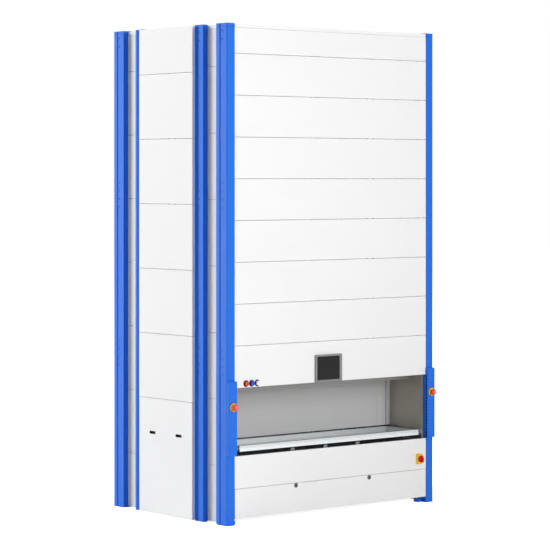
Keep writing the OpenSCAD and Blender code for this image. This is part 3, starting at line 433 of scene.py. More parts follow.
@dataclass(frozen=True)
class Moulding(Finish):
    """Injection-moulded ABS or polyamide: even colour under a fine spark-eroded grain.

    Attributes:
        grain: Size of one grain of the mould's texture.
        grain_detail: Finer grains between the grains.
        grain_depth: Depth of the grain.
        flow: Size of one flow mark.
        flow_tone: Share of the main colour in the darkest flow marks.
        flow_gloss: How far a flow mark moves the roughness to each side.
    """

    grain: float = 1.6 * MM
    grain_detail: float = 1.0
    grain_depth: float = 0.03 * MM
    flow: float = 30 * MM
    flow_tone: float = 0.93
    flow_gloss: float = 0.03

    def pattern(self, coat: Coat) -> None:
        """Adds the grain and the slight flow marks of moulding.

        Args:
            coat: The material in the making.
        """
        flow = coat.noise(self.flow)
        coat.tone(flow, self.flow_tone)
        coat.gloss(flow, self.flow_gloss)
        coat.relief(coat.noise(self.grain, self.grain_detail), self.grain_depth)


@dataclass(frozen=True)
class BeltRubber(Finish):
    """Black polyurethane and rubber of belts and seals: dull, with dust in its pores.

    Attributes:
        dust: Size of one patch of dust.
        dust_detail: Finer dust in a patch.
        dust_tones: Share of the main colour where there is least and most dust.
        dust_gloss: How far the dust moves the roughness to each side.
        pore: Size of one pore.
        pore_depth: Depth of the pores.
    """

    dust: float = 60 * MM
    dust_detail: float = 4.0
    dust_tones: tuple[float, float] = (0.75, 1.25)
    dust_gloss: float = 0.08
    pore: float = 3 * MM
    pore_depth: float = 0.08 * MM

    def pattern(self, coat: Coat) -> None:
        """Adds pores and grey dust.

        Args:
            coat: The material in the making.
        """
        dust = coat.noise(self.dust, self.dust_detail)
        coat.tone(dust, *self.dust_tones)
        coat.gloss(dust, self.dust_gloss)
        coat.relief(coat.noise(self.pore), self.pore_depth)


@dataclass(frozen=True)
class ScreenGlass(Finish):
    """Hardened cover glass bonded over a dark display: black and glossy, with wiped finger marks.

    Attributes:
        mark: Size of one finger mark.
        mark_detail: Finer lines in a mark.
        mark_tones: Share of the main colour beside a mark and under it.
        mark_gloss: How far a mark moves the roughness to each side.
    """

    mark: float = 35 * MM
    mark_detail: float = 3.0
    mark_tones: tuple[float, float] = (0.85, 1.15)
    mark_gloss: float = 0.04

    def pattern(self, coat: Coat) -> None:
        """Adds the finger marks.

        Args:
            coat: The material in the making.
        """
        marks = coat.noise(self.mark, self.mark_detail)
        coat.tone(marks, *self.mark_tones)
        coat.gloss(marks, self.mark_gloss)


# Powder coats: satin, from the vivid blue of the posts to the soft greys of what lies behind them
BLUE_ENAMEL = Enamel("blue_enamel", "#006ae0", 0.38, specular=0.35)
# Blue coat of the post caps, with painted shade in the seam under each cap
CAP_ENAMEL = CapEnamel("blue_enamel", "#006ae0", 0.38, specular=0.35)
WHITE_ENAMEL = Enamel("white_enamel", "#f3f3f3", 0.42, specular=0.35)
GREY_ENAMEL = Enamel("grey_enamel", "#dedfde", 0.42, specular=0.35)
FRAME_ENAMEL = Enamel("frame_enamel", "#8b8b8b", 0.42, specular=0.35)
DARK_ENAMEL = Enamel("dark_enamel", "#2b2c2f", 0.45)
NAVY_ENAMEL = Enamel("dark_enamel", "#0a1834", 0.5, specular=0.2)
FLOOR_ENAMEL = Enamel("dark_enamel", "#7a7b7d", 0.45)
# Steels: sheet that mirrors its surroundings in drawn-out lines, dull zinc, and bright turned parts
DOOR_STEEL = BrushedSteel("grey_enamel", "#c2c2c2", 0.5, specular=0.3)
BAY_STEEL = BrushedSteel("bay_steel", "#b3aea4", 0.34, 0.75)
CEILING_STEEL = BrushedSteel("bay_steel", "#868583", 0.42, 0.6)
ZINC_STEEL = ZincSheet("zinc_steel", "#c9cccd", 0.45, 0.85)
TURNED_STEEL = TurnedSteel("turned_steel", "#b4b5b6", 0.28, 1.0)
LOCK_STEEL = TurnedSteel("lock_steel", "#5c5c5e", 0.34, 0.8)
# Plastics, rubber and glass: signal colours with a soft shine, dull black, and a black mirror
BLACK_PLASTIC = Moulding("black_plastic", "#141416", 0.45, specular=0.35)
RED_PLASTIC = Moulding("red_plastic", "#f23417", 0.3)
KNOB_PLASTIC = Moulding("red_plastic", "#d81204", 0.34, specular=0.3)
BLUE_PLASTIC = Moulding("blue_plastic", "#0c3fd6", 0.3)
WHITE_PLASTIC = Moulding("white_plastic", "#f0f0ee", 0.32)
YELLOW_PLASTIC = Moulding("yellow_plastic", "#ffd63a", 0.36)
BELT_RUBBER = BeltRubber("belt_rubber", "#232323", 0.72)
SCREEN_PLASTIC = ScreenGlass("screen_plastic", "#101011", 0.12, specular=0.22)


@cache
def made(finish: Finish) -> bpy.types.Material:
    """The material of a finish, built the first time it is asked for."""
    return finish.material()


def paint(piece: Piece, finish: Finish) -> None:
    """Gives every material slot of a piece one finish.

    Args:
        piece: The piece.
        finish: Its finish.
    """
    if not piece.material_slots:
        piece.data.materials.append(None)
    for slot in piece.material_slots:
        slot.material = made(finish)


class Facing(Enum):
    """Way that the head of a fitting points, as a turn in degrees from straight up."""

    UP = (0.0, 0.0, 0.0)
    DOWN = (180.0, 0.0, 0.0)
    FRONT = (90.0, 0.0, 0.0)
    REAR = (90.0, 0.0, 180.0)
    LEFT = (0.0, -90.0, 0.0)
    RIGHT = (0.0, 90.0, 0.0)

    def matrix(self) -> Matrix:
        """The turn as a matrix."""
        return Euler([math.radians(angle) for angle in self.value]).to_matrix().to_4x4()


def only(piece: Piece | None = None) -> None:
    """Deselects everything, and then selects one piece and makes it active.

    Args:
        piece: The piece, or nothing to leave all deselected.
    """
    bpy.ops.object.select_all(action="DESELECT")
    if piece is not None:
        piece.select_set(True)
        bpy.context.view_layer.objects.active = piece


class Kind(Enum):
    """What is picked in a mesh. Each value is the name of the mesh's list of them."""

    FACE = "faces"
    EDGE = "edges"


def pick(piece: Piece, kind: Kind, chosen: Callable[[Any], bool]) -> None:
    """Selects faces or edges of a piece in edit mode.

    Args:
        piece: The piece, in edit mode.
        kind: Whether faces or edges are picked.
        chosen: Test of one face or edge.
    """
    bpy.ops.mesh.select_mode(type=kind.name)
    bpy.ops.mesh.select_all(action="DESELECT")
    mesh = bmesh.from_edit_mesh(piece.data)
    for part in getattr(mesh, kind.value):
        part.select_set(chosen(part))
    bmesh.update_edit_mesh(piece.data)


def at_height(height: float) -> Callable[[bmesh.types.BMEdge], bool]:
    """A test for edges that lie at one height."""
    return lambda edge: all(abs(end.co.z - height) < EPSILON for end in edge.verts)


def round_at(piece: Piece, height: float, by: float, steps: int) -> None:
    """Rounds the edges at one height by a width, in steps, of which a single one makes a chamfer."""
    pick(piece, Kind.EDGE, at_height(height))
    bpy.ops.mesh.bevel(offset=by, segments=steps)


def inset_top(piece: Piece, by: float) -> None:
    """Insets the faces that look up, and leaves the ones within selected."""
    pick(piece, Kind.FACE, lambda face: face.normal.z > FLAT)
    bpy.ops.mesh.inset(thickness=by)


def draw_out(by: float) -> None:
    """Extrudes the selected faces upwards, or downwards where the distance is negative."""
    bpy.ops.mesh.extrude_region_move(TRANSFORM_OT_translate={"value": (0.0, 0.0, by)})


def opened() -> Piece:
    """Puts the place and size of a new primitive into its mesh and opens it in edit mode.

    Returns:
        The primitive, in edit mode.
    """
    bpy.ops.object.transform_apply(location=True, rotation=True, scale=True)
    bpy.ops.object.mode_set(mode="EDIT")
    return bpy.context.object


def closed(piece: Piece) -> Piece:
    """Leaves edit mode and hands the piece on."""
    bpy.ops.object.mode_set(mode="OBJECT")
    return piece


def disc(radius: float, height: float, sides: int = 24, base: float = 0.0) -> Piece:
    """Adds an upright disc on the origin and opens it in edit mode.

    Args:
        radius: Its radius, to the corners where it has few sides.
        height: Its height.
        sides: Number of its sides.
        base: Height of its underside.

    Returns:
        The disc, in edit mode.
    """
    only()
    middle = (0.0, 0.0, base + height / 2)
    bpy.ops.mesh.primitive_cylinder_add(vertices=sides, radius=radius, depth=height, location=middle)
    return opened()


def block(width: float, depth: float, height: float) -> Piece:
    """Adds a block that stands on the origin and opens it in edit mode.

    Args:
        width: Its size along X.
        depth: Its size along Y.
        height: Its height.

    Returns:
        The block, in edit mode.
    """
    only()
    bpy.ops.mesh.primitive_cube_add(size=1.0, location=(0.0, 0.0, height / 2), scale=(width, depth, height))
    return opened()


def joined(pieces: Sequence[Piece]) -> Piece:
    """Joins pieces into the first of them, with its origin where the frame has it.

    Args:
        pieces: Pieces in object mode.

    Returns:
        The joined piece.
    """
    only(pieces[0])
    for piece in pieces:
        piece.select_set(True)
    if len(pieces) > 1:
        bpy.ops.object.join()
    bpy.ops.object.transform_apply(location=True, rotation=True, scale=True)
    return pieces[0]


def copied(piece: Piece, place: Matrix) -> Piece:
    """Copies a piece with a mesh of its own.

    Args:
        piece: The piece.
        place: Where the copy goes.

    Returns:
        The copy.
    """
    copy = piece.copy()
    copy.data = piece.data.copy()
    copy.matrix_world = place
    bpy.context.scene.collection.objects.link(copy)
    return copy


def settle(piece: Piece, name: str, body: str, finish: Finish) -> None:
    """Names a finished piece, paints it and hangs it on its body.

    Args:
        piece: The piece, in object mode, with its place in its mesh.
        name: Its name.
        body: Body that it rides on.
        finish: Its finish.
    """
    piece.name = name
    paint(piece, finish)
    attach(piece, body)
    log.info("%s rides on %s", name, body)


@dataclass(frozen=True)
class Fitting(ABC):
    """A small part, modelled once on the origin with its head up, and then copied to its places.

    Attributes:
        finish: Its finish.
    """

    finish: Finish

    @abstractmethod
    def model(self) -> Piece:
        """Models the part on the origin, with its head up, and returns it in object mode."""

    def fit(self, name: str, body: str, spots: Iterable[tuple[Vector, Facing]]) -> None:
        """Copies the part to its places, joins the copies and hangs them on a body.

        Args:
            name: Name of the piece that the copies become.
            body: Body that they ride on.
            spots: Where each copy sits, and which way its head points.
        """
        master = self.model()
        copies = [copied(master, Matrix.Translation(place) @ facing.matrix()) for place, facing in spots]
        bpy.data.objects.remove(master)
        settle(joined(copies), name, body, self.finish)


@dataclass(frozen=True)
class ButtonScrew(Fitting):
    """Button-head screw with a round socket.

    Attributes:
        radius: Radius of the head.
        height: Height of the head.
        rounding: Share of the height over which the rim is rounded.
        shoulder: Width of the ring round the socket, as a share of the radius.
        socket_depth: Depth of the socket, as a share of the height.
    """

    radius: float = 6 * MM
    height: float = 3 * MM
    rounding: float = 0.55
    shoulder: float = 0.3
    socket_depth: float = 0.5

    def model(self) -> Piece:
        """Rounds the rim of a disc and sinks a socket into it.

        Returns:
            The screw head.
        """
        piece = disc(self.radius, self.height)
        round_at(piece, self.height, by=self.rounding * self.height, steps=3)
        inset_top(piece, self.shoulder * self.radius)
        draw_out(-self.socket_depth * self.height)
        return closed(piece)


@dataclass(frozen=True)
class HexBolt(Fitting):
    """Hexagon bolt head on a flat washer.

    Attributes:
        across: Distance over the corners of the head.
        head_height: Height of the head, as a share of that distance.
        chamfer: Chamfer of the head, as a share of that distance.
        washer_radius: Radius of the washer, as a share of that distance.
        washer: Thickness of the washer.
        washer_chamfer: Chamfer of the washer, as a share of its thickness.
    """

    across: float = 18 * MM
    head_height: float = 0.32
    chamfer: float = 0.06
    washer_radius: float = 0.62
    washer: float = 2 * MM
    washer_chamfer: float = 0.2

    def model(self) -> Piece:
        """Stands a chamfered hexagon on a washer.

        Returns:
            The bolt head with its washer.
        """
        plate = disc(self.washer_radius * self.across, self.washer)
        round_at(plate, self.washer, by=self.washer_chamfer * self.washer, steps=1)
        closed(plate)
        height = self.head_height * self.across
        head = disc(self.across / 2, height, sides=6, base=self.washer)
        round_at(head, self.washer + height, by=self.chamfer * self.across, steps=1)
        return joined([plate, closed(head)])


@dataclass(frozen=True)
class Rim(Fitting):
    """Round rim with an open middle and a rounded outer edge.

    Attributes:
        outer: Outer radius.
        inner: Inner radius.
        height: Height.
        sides: Number of sides.
        rounding: Share of the height over which the edge is rounded.
    """

    outer: float = 11 * MM
    inner: float = 5.5 * MM
    height: float = 1.5 * MM
    sides: int = 24
    rounding: float = 0.4

    def model(self) -> Piece:
        """Insets both ends of a disc, bridges them into a bore and rounds the outer edge.

        Returns:
            The rim.
        """
        piece = disc(self.outer, self.height, self.sides)
        pick(piece, Kind.FACE, lambda face: abs(face.normal.z) > FLAT)
        bpy.ops.mesh.inset(thickness=self.outer - self.inner)
        bpy.ops.mesh.bridge_edge_loops()
        halfway = (self.outer + self.inner) / 2
        top = at_height(self.height)
        pick(
            piece,
            Kind.EDGE,
            lambda edge: top(edge) and all(end.co.xy.length > halfway for end in edge.verts),
        )
        bpy.ops.mesh.bevel(offset=self.rounding * self.height, segments=2)
        return closed(piece)


@dataclass(frozen=True)
class TurnArrows(Rim):
    """Two moulded arrows, one half turn apart, that show which way a head is turned to free it.

    Attributes:
        sweep: Angle that one arrow covers, in degrees.
        tip: Radius of the arrow's triangular tip.
        tip_ahead: How far the tip lies ahead of the arrow's end, as a share of its radius.
    """

    outer: float = 14 * MM
    inner: float = 11.5 * MM
    height: float = 0.8 * MM
    sides: int = 48
    sweep: float = 110.0
    tip: float = 4 * MM
    tip_ahead: float = 0.6

    def model(self) -> Piece:
        """Cuts a sector from a rim, sets a tip on its end and turns a copy by half a turn.

        Returns:
            The two arrows.
        """
        arrow = super().model()
        only(arrow)
        bpy.ops.object.mode_set(mode="EDIT")
        end = math.radians(self.sweep)
        for cut in ((0.0, -1.0, 0.0), (-math.sin(end), math.cos(end), 0.0)):
            bpy.ops.mesh.select_all(action="SELECT")
            bpy.ops.mesh.bisect(plane_co=(0.0, 0.0, 0.0), plane_no=cut, use_fill=True, clear_outer=True)
        closed(arrow)
        tip = closed(disc(self.tip, self.height, sides=3))
        ahead = Matrix.Translation(((self.outer + self.inner) / 2, self.tip_ahead * self.tip, 0.0))
        tip.matrix_world = Matrix.Rotation(end, 4, "Z") @ ahead
        first = joined([arrow, tip])
        return joined([first, copied(first, Matrix.Rotation(math.pi, 4, "Z"))])


@dataclass(frozen=True)
class LockCore(Fitting):
    """Turning core of a cam lock, with a slot for a coin or a flat key.

    Attributes:
        radius: Radius of the core.
        height: How far it stands out.
        rounding: Share of the height over which its edge is rounded.
        shoulder: Distance of the slot's ends from the edge, as a share of the radius.
        slot_width: Width of the slot, as a share of its length.
        slot_depth: Depth of the slot, as a share of the height.
    """

    radius: float = 8 * MM
    height: float = 1.5 * MM
    rounding: float = 0.3
    shoulder: float = 0.25
    slot_width: float = 0.25
    slot_depth: float = 0.6

    def model(self) -> Piece:
        """Rounds a disc and sinks a long slot, drawn in from an inset of its top.

        Returns:
            The core.
        """
        piece = disc(self.radius, self.height)
        round_at(piece, self.height, by=self.rounding * self.height, steps=2)
        inset_top(piece, self.shoulder * self.radius)
        top = (0.0, 0.0, self.height)
        bpy.ops.transform.resize(value=(self.slot_width, 1.0, 1.0), center_override=top)
        draw_out(-self.slot_depth * self.height)
        return closed(piece)


@dataclass(frozen=True)
class FrameSeal(Fitting):
    """Flat rectangular seal with an open middle, such as the one round a screen.

    Attributes:
        width: Outer width.
        height: Outer height.
        band: Width of the band.
        thickness: Thickness.
    """

    width: float = 300 * MM
    height: float = 200 * MM
    band: float = 5 * MM
    thickness: float = 1.5 * MM

    def model(self) -> Piece:
        """Insets a plate, drops its middle and draws the band up to its thickness.

        Returns:
            The seal.
        """
        only()
        bpy.ops.mesh.primitive_plane_add(size=1.0)
        bpy.context.object.scale = (self.width, self.height, 1.0)
        piece = opened()
        bpy.ops.mesh.select_all(action="SELECT")
        bpy.ops.mesh.inset(thickness=self.band)
        bpy.ops.mesh.delete(type="FACE")
        closed(piece)
        solid = piece.modifiers.new("thickness", "SOLIDIFY")
        solid.thickness = self.thickness
        solid.offset = 1.0
        bpy.ops.object.modifier_apply(modifier=solid.name)
        return piece


@dataclass(frozen=True)
class LipSeal(Fitting):
    """Straight rubber seal: a bar with a thinner rounded lip on its upper side.

    Attributes:
        length: Length along X.
        depth: Depth along Y.
        bar: Height of the bar.
        lip: Height of the lip.
        shoulder: Distance of the lip from the edge of the bar, as a share of the depth.
        rounding: Rounding of the lip, as a share of the depth.
    """

    length: float = 1.0
    depth: float = 12 * MM
    bar: float = 4 * MM
    lip: float = 3 * MM
    shoulder: float = 0.3
    rounding: float = 0.15

    def model(self) -> Piece:
        """Draws a lip out of the middle of a bar and rounds its edge.

        Returns:
            The seal.
        """
        piece = block(self.length, self.depth, self.bar)
        inset_top(piece, self.shoulder * self.depth)
        draw_out(self.lip)
        round_at(piece, self.bar + self.lip, by=self.rounding * self.depth, steps=2)
        return closed(piece)


@dataclass(frozen=True)
class PointerBar(Fitting):
    """Raised pointer with a rounded top, let into the grip of a switch.

    Attributes:
        width: Width along X.
        length: Length along Y.
        height: How far it stands out.
        rounding: Rounding of its corners and of its top, as a share of the width and of the height.
    """

    width: float = 5 * MM
    length: float = 26 * MM
    height: float = 0.8 * MM
    rounding: float = 0.4

    def model(self) -> Piece:
        """Rounds the corners and the top of a bar.

        Returns:
            The pointer.
        """
        piece = block(self.width, self.length, self.height)
        pick(piece, Kind.EDGE, lambda edge: abs(edge.verts[0].co.z - edge.verts[1].co.z) > EPSILON)
        bpy.ops.mesh.bevel(offset=self.rounding * self.width, segments=4)
        round_at(piece, self.height, by=self.rounding * self.height, steps=2)
        return closed(piece)


@dataclass(frozen=True)
class Numeral(Fitting):
    """Raised numeral beside a switch.

    Attributes:
        digit: The numeral.
        size: Size of the lettering.
        relief: How far it stands out.
    """

    digit: str = "0"
    size: float = 15 * MM
    relief: float = 0.5 * MM

    def model(self) -> Piece:
        """Sets the numeral as text, centred, and turns it into a mesh.

        Returns:
            The numeral.
        """
        only()
        bpy.ops.object.text_add()
        text = bpy.context.object.data
        text.body = self.digit
        text.size = self.size
        text.extrude = self.relief
        text.align_x = "CENTER"
        text.align_y = "CENTER"
        bpy.ops.object.convert(target="MESH")
        return bpy.context.object


def front_middle(node: str) -> Vector:
    """Middle of the front side of a node's box."""
    low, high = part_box(node)
    return Vector(((low.x + high.x) / 2, low.y, (low.z + high.z) / 2))


class SubAssembly(ABC):
    """A group of pieces that belong together on the machine."""

    @abstractmethod
    def finishes(self) -> Mapping[str, Finish]:
        """Nodes of the frame in this group, each with its finish."""

    def dress(self) -> None:
        """Gives the group's nodes of the frame their finishes."""
        for node, finish in self.finishes().items():
            paint(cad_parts[node], finish)
            log.info("%s wears %s", node, finish.slot)

    def build(self) -> None:
        """Adds the group's own small parts. A group without any leaves this empty."""


@dataclass
class PostFrame(SubAssembly):
    """Posts with their caps and feet, and the ladder frames between them.

    Attributes:
        groove: Depth of the groove down the side of a post, which the screws of the top frame sit in.
        screw: One of those screws.
        screw_z: Heights of the screws.
        screw_y: Each kind of post, with the screws' distances from its front and from its rear edge.
    """

    groove: float = 8 * MM
    screw: ButtonScrew = ButtonScrew(NAVY_ENAMEL, radius=9 * MM, height=4 * MM)
    screw_z: tuple[float, ...] = (5810 * MM, 5912 * MM)
    screw_y: tuple[tuple[str, float, float], ...] = (
        ("corner_posts", 99 * MM, 110 * MM),
        ("inner_posts", 95 * MM, 95 * MM),
    )

    def finishes(self) -> Mapping[str, Finish]:
        """Dresses the posts in blue, on bright steel screws, with galvanised beams behind the cladding.

        Returns:
            Nodes and their finishes.
        """
        return {
            "corner_posts": BLUE_ENAMEL,
            "inner_posts": BLUE_ENAMEL,
            # The caps' coat carries painted shade in the seam below them
            "post_caps": CAP_ENAMEL,
            "post_feet": BLUE_ENAMEL,
            "levelling_screws": TURNED_STEEL,
            "frame_beams": ZINC_STEEL,
        }

    def build(self) -> None:
        """Adds the screws that hold the top frame to the posts."""
        spots = []
        for node, front, rear in self.screw_y:
            low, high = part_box(node)
            sides = ((low.x + self.groove, Facing.LEFT), (high.x - self.groove, Facing.RIGHT))
            rows = (low.y + front, high.y - rear)
            spots += [(Vector((x, y, z)), facing) for x, facing in sides for y in rows for z in self.screw_z]
        self.screw.fit("top_frame_screws", "root", spots)


@dataclass
class Cladding(SubAssembly):
    """White and grey panels round the frame, with the grips and locks of the lift-off ones.

    Attributes:
        lock_x: Side of each lock of the bottom panel, with its place along X.
        lock_z: Height of the locks.
        rear_pitch: Height of a rear panel with its seam. The top one is what is left.
        screw: One of the screws of the rear panels.
        screw_inset: Distance of a rear screw from the edge of its panel.
    """

    lock_x: tuple[tuple[str, float], ...] = (("left", -609 * MM), ("right", 591 * MM))
    lock_z: float = 400 * MM
    rear_pitch: float = 500 * MM
    screw: ButtonScrew = ButtonScrew(WHITE_ENAMEL, height=2.6 * MM)
    screw_inset: float = 30 * MM

    def finishes(self) -> Mapping[str, Finish]:
        """Dresses the outer panels in white and the recessed ones in grey, with dark locks and black grips.

        Returns:
            Nodes and their finishes.
        """
        white = (
            "roof_panel",
            "upper_front_panels",
            "screen_panel",
            "lower_front_panel",
            "bottom_service_panel",
            "rear_panels",
            "side_panels",
            "side_service_panel",
        )
        return {name: WHITE_ENAMEL for name in white} | {
            "rack_side_panels": GREY_ENAMEL,
            "left_service_lock": LOCK_STEEL,
            "right_service_lock": LOCK_STEEL,
            "grip_cups": BLACK_PLASTIC,
        }

    def build(self) -> None:
        """Adds the turning cores of the cam locks and the screws of the rear panels."""
        for side, x in self.lock_x:
            lock = f"{side}_service_lock"
            place = Vector((x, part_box(lock)[0].y, self.lock_z))
            LockCore(BLACK_PLASTIC).fit(f"{side}_lock_core", lock, [(place, Facing.FRONT)])
        low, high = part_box("rear_panels")
        spots = [
            (Vector((x, high.y, z)), Facing.REAR)
            for x in (low.x + self.screw_inset, 0.0, high.x - self.screw_inset)
            for z in self.rear_rows(low.z, high.z)
        ]
        self.screw.fit("rear_panel_screws", "root", spots)

    def rear_rows(self, bottom: float, top: float) -> list[float]:
        """Heights of the screws, one near each end of every rear panel.

        Args:
            bottom: Height of the lowest panel's lower edge.
            top: Height of the highest panel's upper edge.

        Returns:
            The heights, from the lowest up.
        """
        rows = []
        while bottom < top:
            upper = min(bottom + self.rear_pitch, top)
            rows += [bottom + self.screw_inset, upper - self.screw_inset]
            bottom = upper
        return rows


@dataclass
class Controls(SubAssembly):
    """Screen, push buttons and main switch on the front panels.

    Attributes:
        numeral_size: Size of the switch's numerals, and distance of the 0 from the block's left edge.
        numeral_drop: Distance of the numerals from the upper edge of the switch block.
        pointer_rise: Height of the pointer's middle over the switch's axis.
        button_x: Places of the push buttons along X.
        collar: Collar round a push button.
    """

    numeral_size: float = 15 * MM
    numeral_drop: float = 11 * MM
    pointer_rise: float = 26 * MM
    button_x: tuple[float, ...] = (-1393 * MM, -1306 * MM, -1219 * MM)
    collar: Rim = Rim(BLACK_PLASTIC, outer=41 * MM, inner=34.2 * MM, height=5 * MM)

    def finishes(self) -> Mapping[str, Finish]:
        """Dresses the controls in the colours that they have by custom, and the screen in glass.

        Returns:
            Nodes and their finishes.
        """
        return {
            "screen_frame": FRAME_ENAMEL,
            "touchscreen": SCREEN_PLASTIC,
            "button_bezels": BLACK_PLASTIC,
            "red_button": RED_PLASTIC,
            "blue_button": BLUE_PLASTIC,
            "white_button": WHITE_PLASTIC,
            "main_switch_block": YELLOW_PLASTIC,
            "main_switch_knob": KNOB_PLASTIC,
        }

    def build(self) -> None:
        """Adds the small parts of the screen, the buttons and the switch."""
        self.seal_screen()
        self.collar_buttons()
        self.mark_switch()

    def seal_screen(self) -> None:
        """Adds the seal round the screen's glass."""
        low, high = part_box("touchscreen")
        seal = FrameSeal(BLACK_PLASTIC, width=high.x - low.x, height=high.z - low.z)
        seal.fit("screen_seal", "root", [(front_middle("touchscreen"), Facing.FRONT)])

    def collar_buttons(self) -> None:
        """Adds the collars round the push buttons."""
        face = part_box("screen_panel")[0].y
        row = front_middle("red_button").z
        spots = [(Vector((x, face, row)), Facing.FRONT) for x in self.button_x]
        self.collar.fit("button_collars", "root", spots)

    def mark_switch(self) -> None:
        """Adds the pointer and the numerals of the main switch."""
        axis = front_middle("main_switch_knob")
        place = axis + Vector((0.0, 0.0, self.pointer_rise))
        PointerBar(WHITE_PLASTIC).fit("switch_pointer", "main_switch_knob", [(place, Facing.FRONT)])
        low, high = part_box("main_switch_block")
        row = high.z - self.numeral_drop
        for name, digit, x in (("on", "1", axis.x), ("off", "0", low.x + self.numeral_size)):
            numeral = Numeral(BLACK_PLASTIC, digit=digit, size=self.numeral_size)
            numeral.fit(f"switch_{name}_mark", "root", [(Vector((x, low.y, row)), Facing.FRONT)])


@dataclass
class SafetyColumns(SubAssembly):
    """Covers of the light curtains beside the bay, and their emergency stops.

    Attributes:
        cover_width: Width of a cover.
        beam_y: Place of the row of beam holes along Y.
        beam_z: Height of the lowest beam hole.
        beam_pitch: Distance from hole to hole.
        beam_count: Number of holes in a cover.
        screw_rows: Heights of the screws in a cover's outer flank.
        screw: One of those screws.
        arrow_sink: How far the arrows stand behind the tip of an emergency stop.
        shade_ring: Black ring under an emergency stop's collar, a dark part that paints the collar's shadow
            on the cover.
    """

    cover_width: float = 132 * MM
    beam_y: float = -1117 * MM
    beam_z: float = 858 * MM
    beam_pitch: float = 40 * MM
    beam_count: int = 20
    screw_rows: tuple[float, ...] = (880 * MM, 1277 * MM, 1676 * MM)
    screw: ButtonScrew = ButtonScrew(BLUE_ENAMEL, radius=5 * MM)
    arrow_sink: float = 0.9 * MM
    shade_ring: Rim = Rim(BLACK_PLASTIC, outer=56 * MM, inner=50.3 * MM, height=4 * MM)

    def finishes(self) -> Mapping[str, Finish]:
        """Dresses the covers in blue, over black curtain bars, with yellow collars and red heads.

        Returns:
            Nodes and their finishes.
        """
        return {
            "curtain_covers": BLUE_ENAMEL,
            "light_curtains": BLACK_PLASTIC,
            "estop_collars": YELLOW_PLASTIC,
            "left_estop_button": RED_PLASTIC,
            "right_estop_button": RED_PLASTIC,
        }

    def build(self) -> None:
        """Adds the small parts of the covers and the emergency stops."""
        self.finish_covers()
        self.finish_stops()

    def finish_covers(self) -> None:
        """Adds the rims of the beam holes and the screws of the covers."""
        low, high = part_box("curtain_covers")
        rims, screws = [], []
        for outer, inward, flank, outward in (
            (low.x, self.cover_width, Facing.RIGHT, Facing.LEFT),
            (high.x, -self.cover_width, Facing.LEFT, Facing.RIGHT),
        ):
            for i in range(self.beam_count):
                z = self.beam_z + i * self.beam_pitch
                rims.append((Vector((outer + inward, self.beam_y, z)), flank))
            for z in self.screw_rows:
                screws.append((Vector((outer, self.beam_y, z)), outward))
        Rim(NAVY_ENAMEL).fit("beam_hole_rims", "root", rims)
        self.screw.fit("cover_screws", "root", screws)

    def finish_stops(self) -> None:
        """Adds the arrows on the emergency stops and, under their collars, black rings that paint the
        collars' shadow.
        """
        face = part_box("curtain_covers")[0].y
        shade_rings = []
        for side in ("left", "right"):
            button = f"{side}_estop_button"
            tip = front_middle(button)
            place = tip + Vector((0.0, self.arrow_sink, 0.0))
            TurnArrows(WHITE_PLASTIC).fit(f"{side}_estop_arrows", button, [(place, Facing.FRONT)])
            shade_rings.append((Vector((tip.x, face, tip.z)), Facing.FRONT))
        # Black rings round the collars stand in for the shadow that the collars cast on the covers
        self.shade_ring.fit("estop_gaskets", "root", shade_rings)


@dataclass
class AccessBay(SubAssembly):
    """Lining of the access bay, its inner door and the tray that lies in it.

    Attributes:
        wall_x: Distance of a side wall's inner face from the middle.
        screw: One of the screws of the side walls.
        screw_y: Places of those screws along Y.
        screw_z: Heights of those screws.
    """

    wall_x: float = 1529 * MM
    screw: ButtonScrew = ButtonScrew(TURNED_STEEL, radius=5 * MM, height=2.5 * MM)
    screw_y: tuple[float, ...] = (-1030 * MM, -530 * MM)
    screw_z: tuple[float, ...] = (985 * MM, 1260 * MM, 1535 * MM)

    def finishes(self) -> Mapping[str, Finish]:
        """Dresses the bay in brushed linings, with a grey floor and galvanised sheet for the tray.

        Returns:
            Nodes and their finishes.
        """
        return {
            "bay_side_walls": BAY_STEEL,
            "bay_ceiling": CEILING_STEEL,
            "bay_floor": FLOOR_ENAMEL,
            "door_guides": DOOR_STEEL,
            "inner_door": DOOR_STEEL,
            "door_drive": TURNED_STEEL,
            "access_tray": ZINC_STEEL,
        }

    def build(self) -> None:
        """Adds the seal under the inner door and the screws of the side walls."""
        low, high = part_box("inner_door")
        middle = Vector((0.0, (low.y + high.y) / 2, low.z))
        LipSeal(BELT_RUBBER, length=high.x - low.x).fit("door_seal", "inner_door", [(middle, Facing.DOWN)])
        spots = [
            (Vector((side * self.wall_x, y, z)), facing)
            for side, facing in ((-1, Facing.RIGHT), (1, Facing.LEFT))
            for y in self.screw_y
            for z in self.screw_z
        ]
        self.screw.fit("bay_wall_screws", "root", spots)


@dataclass
class Racks(SubAssembly):
    """Punched strips, ledges and stored trays of the front and rear racks."""

    def finishes(self) -> Mapping[str, Finish]:
        """Galvanised sheet all over."""
        nodes = ("rack_strips", "tray_supports", "front_stored_tray", "lower_rear_tray", "upper_rear_tray")
        return {name: ZINC_STEEL for name in nodes}


@dataclass
class LiftCarriage(SubAssembly):
    """Carriage between the racks, with its guide rollers and the chain extractor."""

    def finishes(self) -> Mapping[str, Finish]:
        """Dresses the carriage in dark enamel, with galvanised rails, black rollers and oiled chains.

        Returns:
            Nodes and their finishes.
        """
        return {
            "guide_rails": ZINC_STEEL,
            "carriage_frame": DARK_ENAMEL,
            "carriage_tray_rails": ZINC_STEEL,
            "front_guide_rollers": BLACK_PLASTIC,
            "rear_guide_rollers": BLACK_PLASTIC,
            "drive_sprockets": TURNED_STEEL,
            "idler_sprockets": TURNED_STEEL,
            "extractor_chains": TURNED_STEEL,
            "hook_trolleys": TURNED_STEEL,
            "extractor_motor": DARK_ENAMEL,
        }


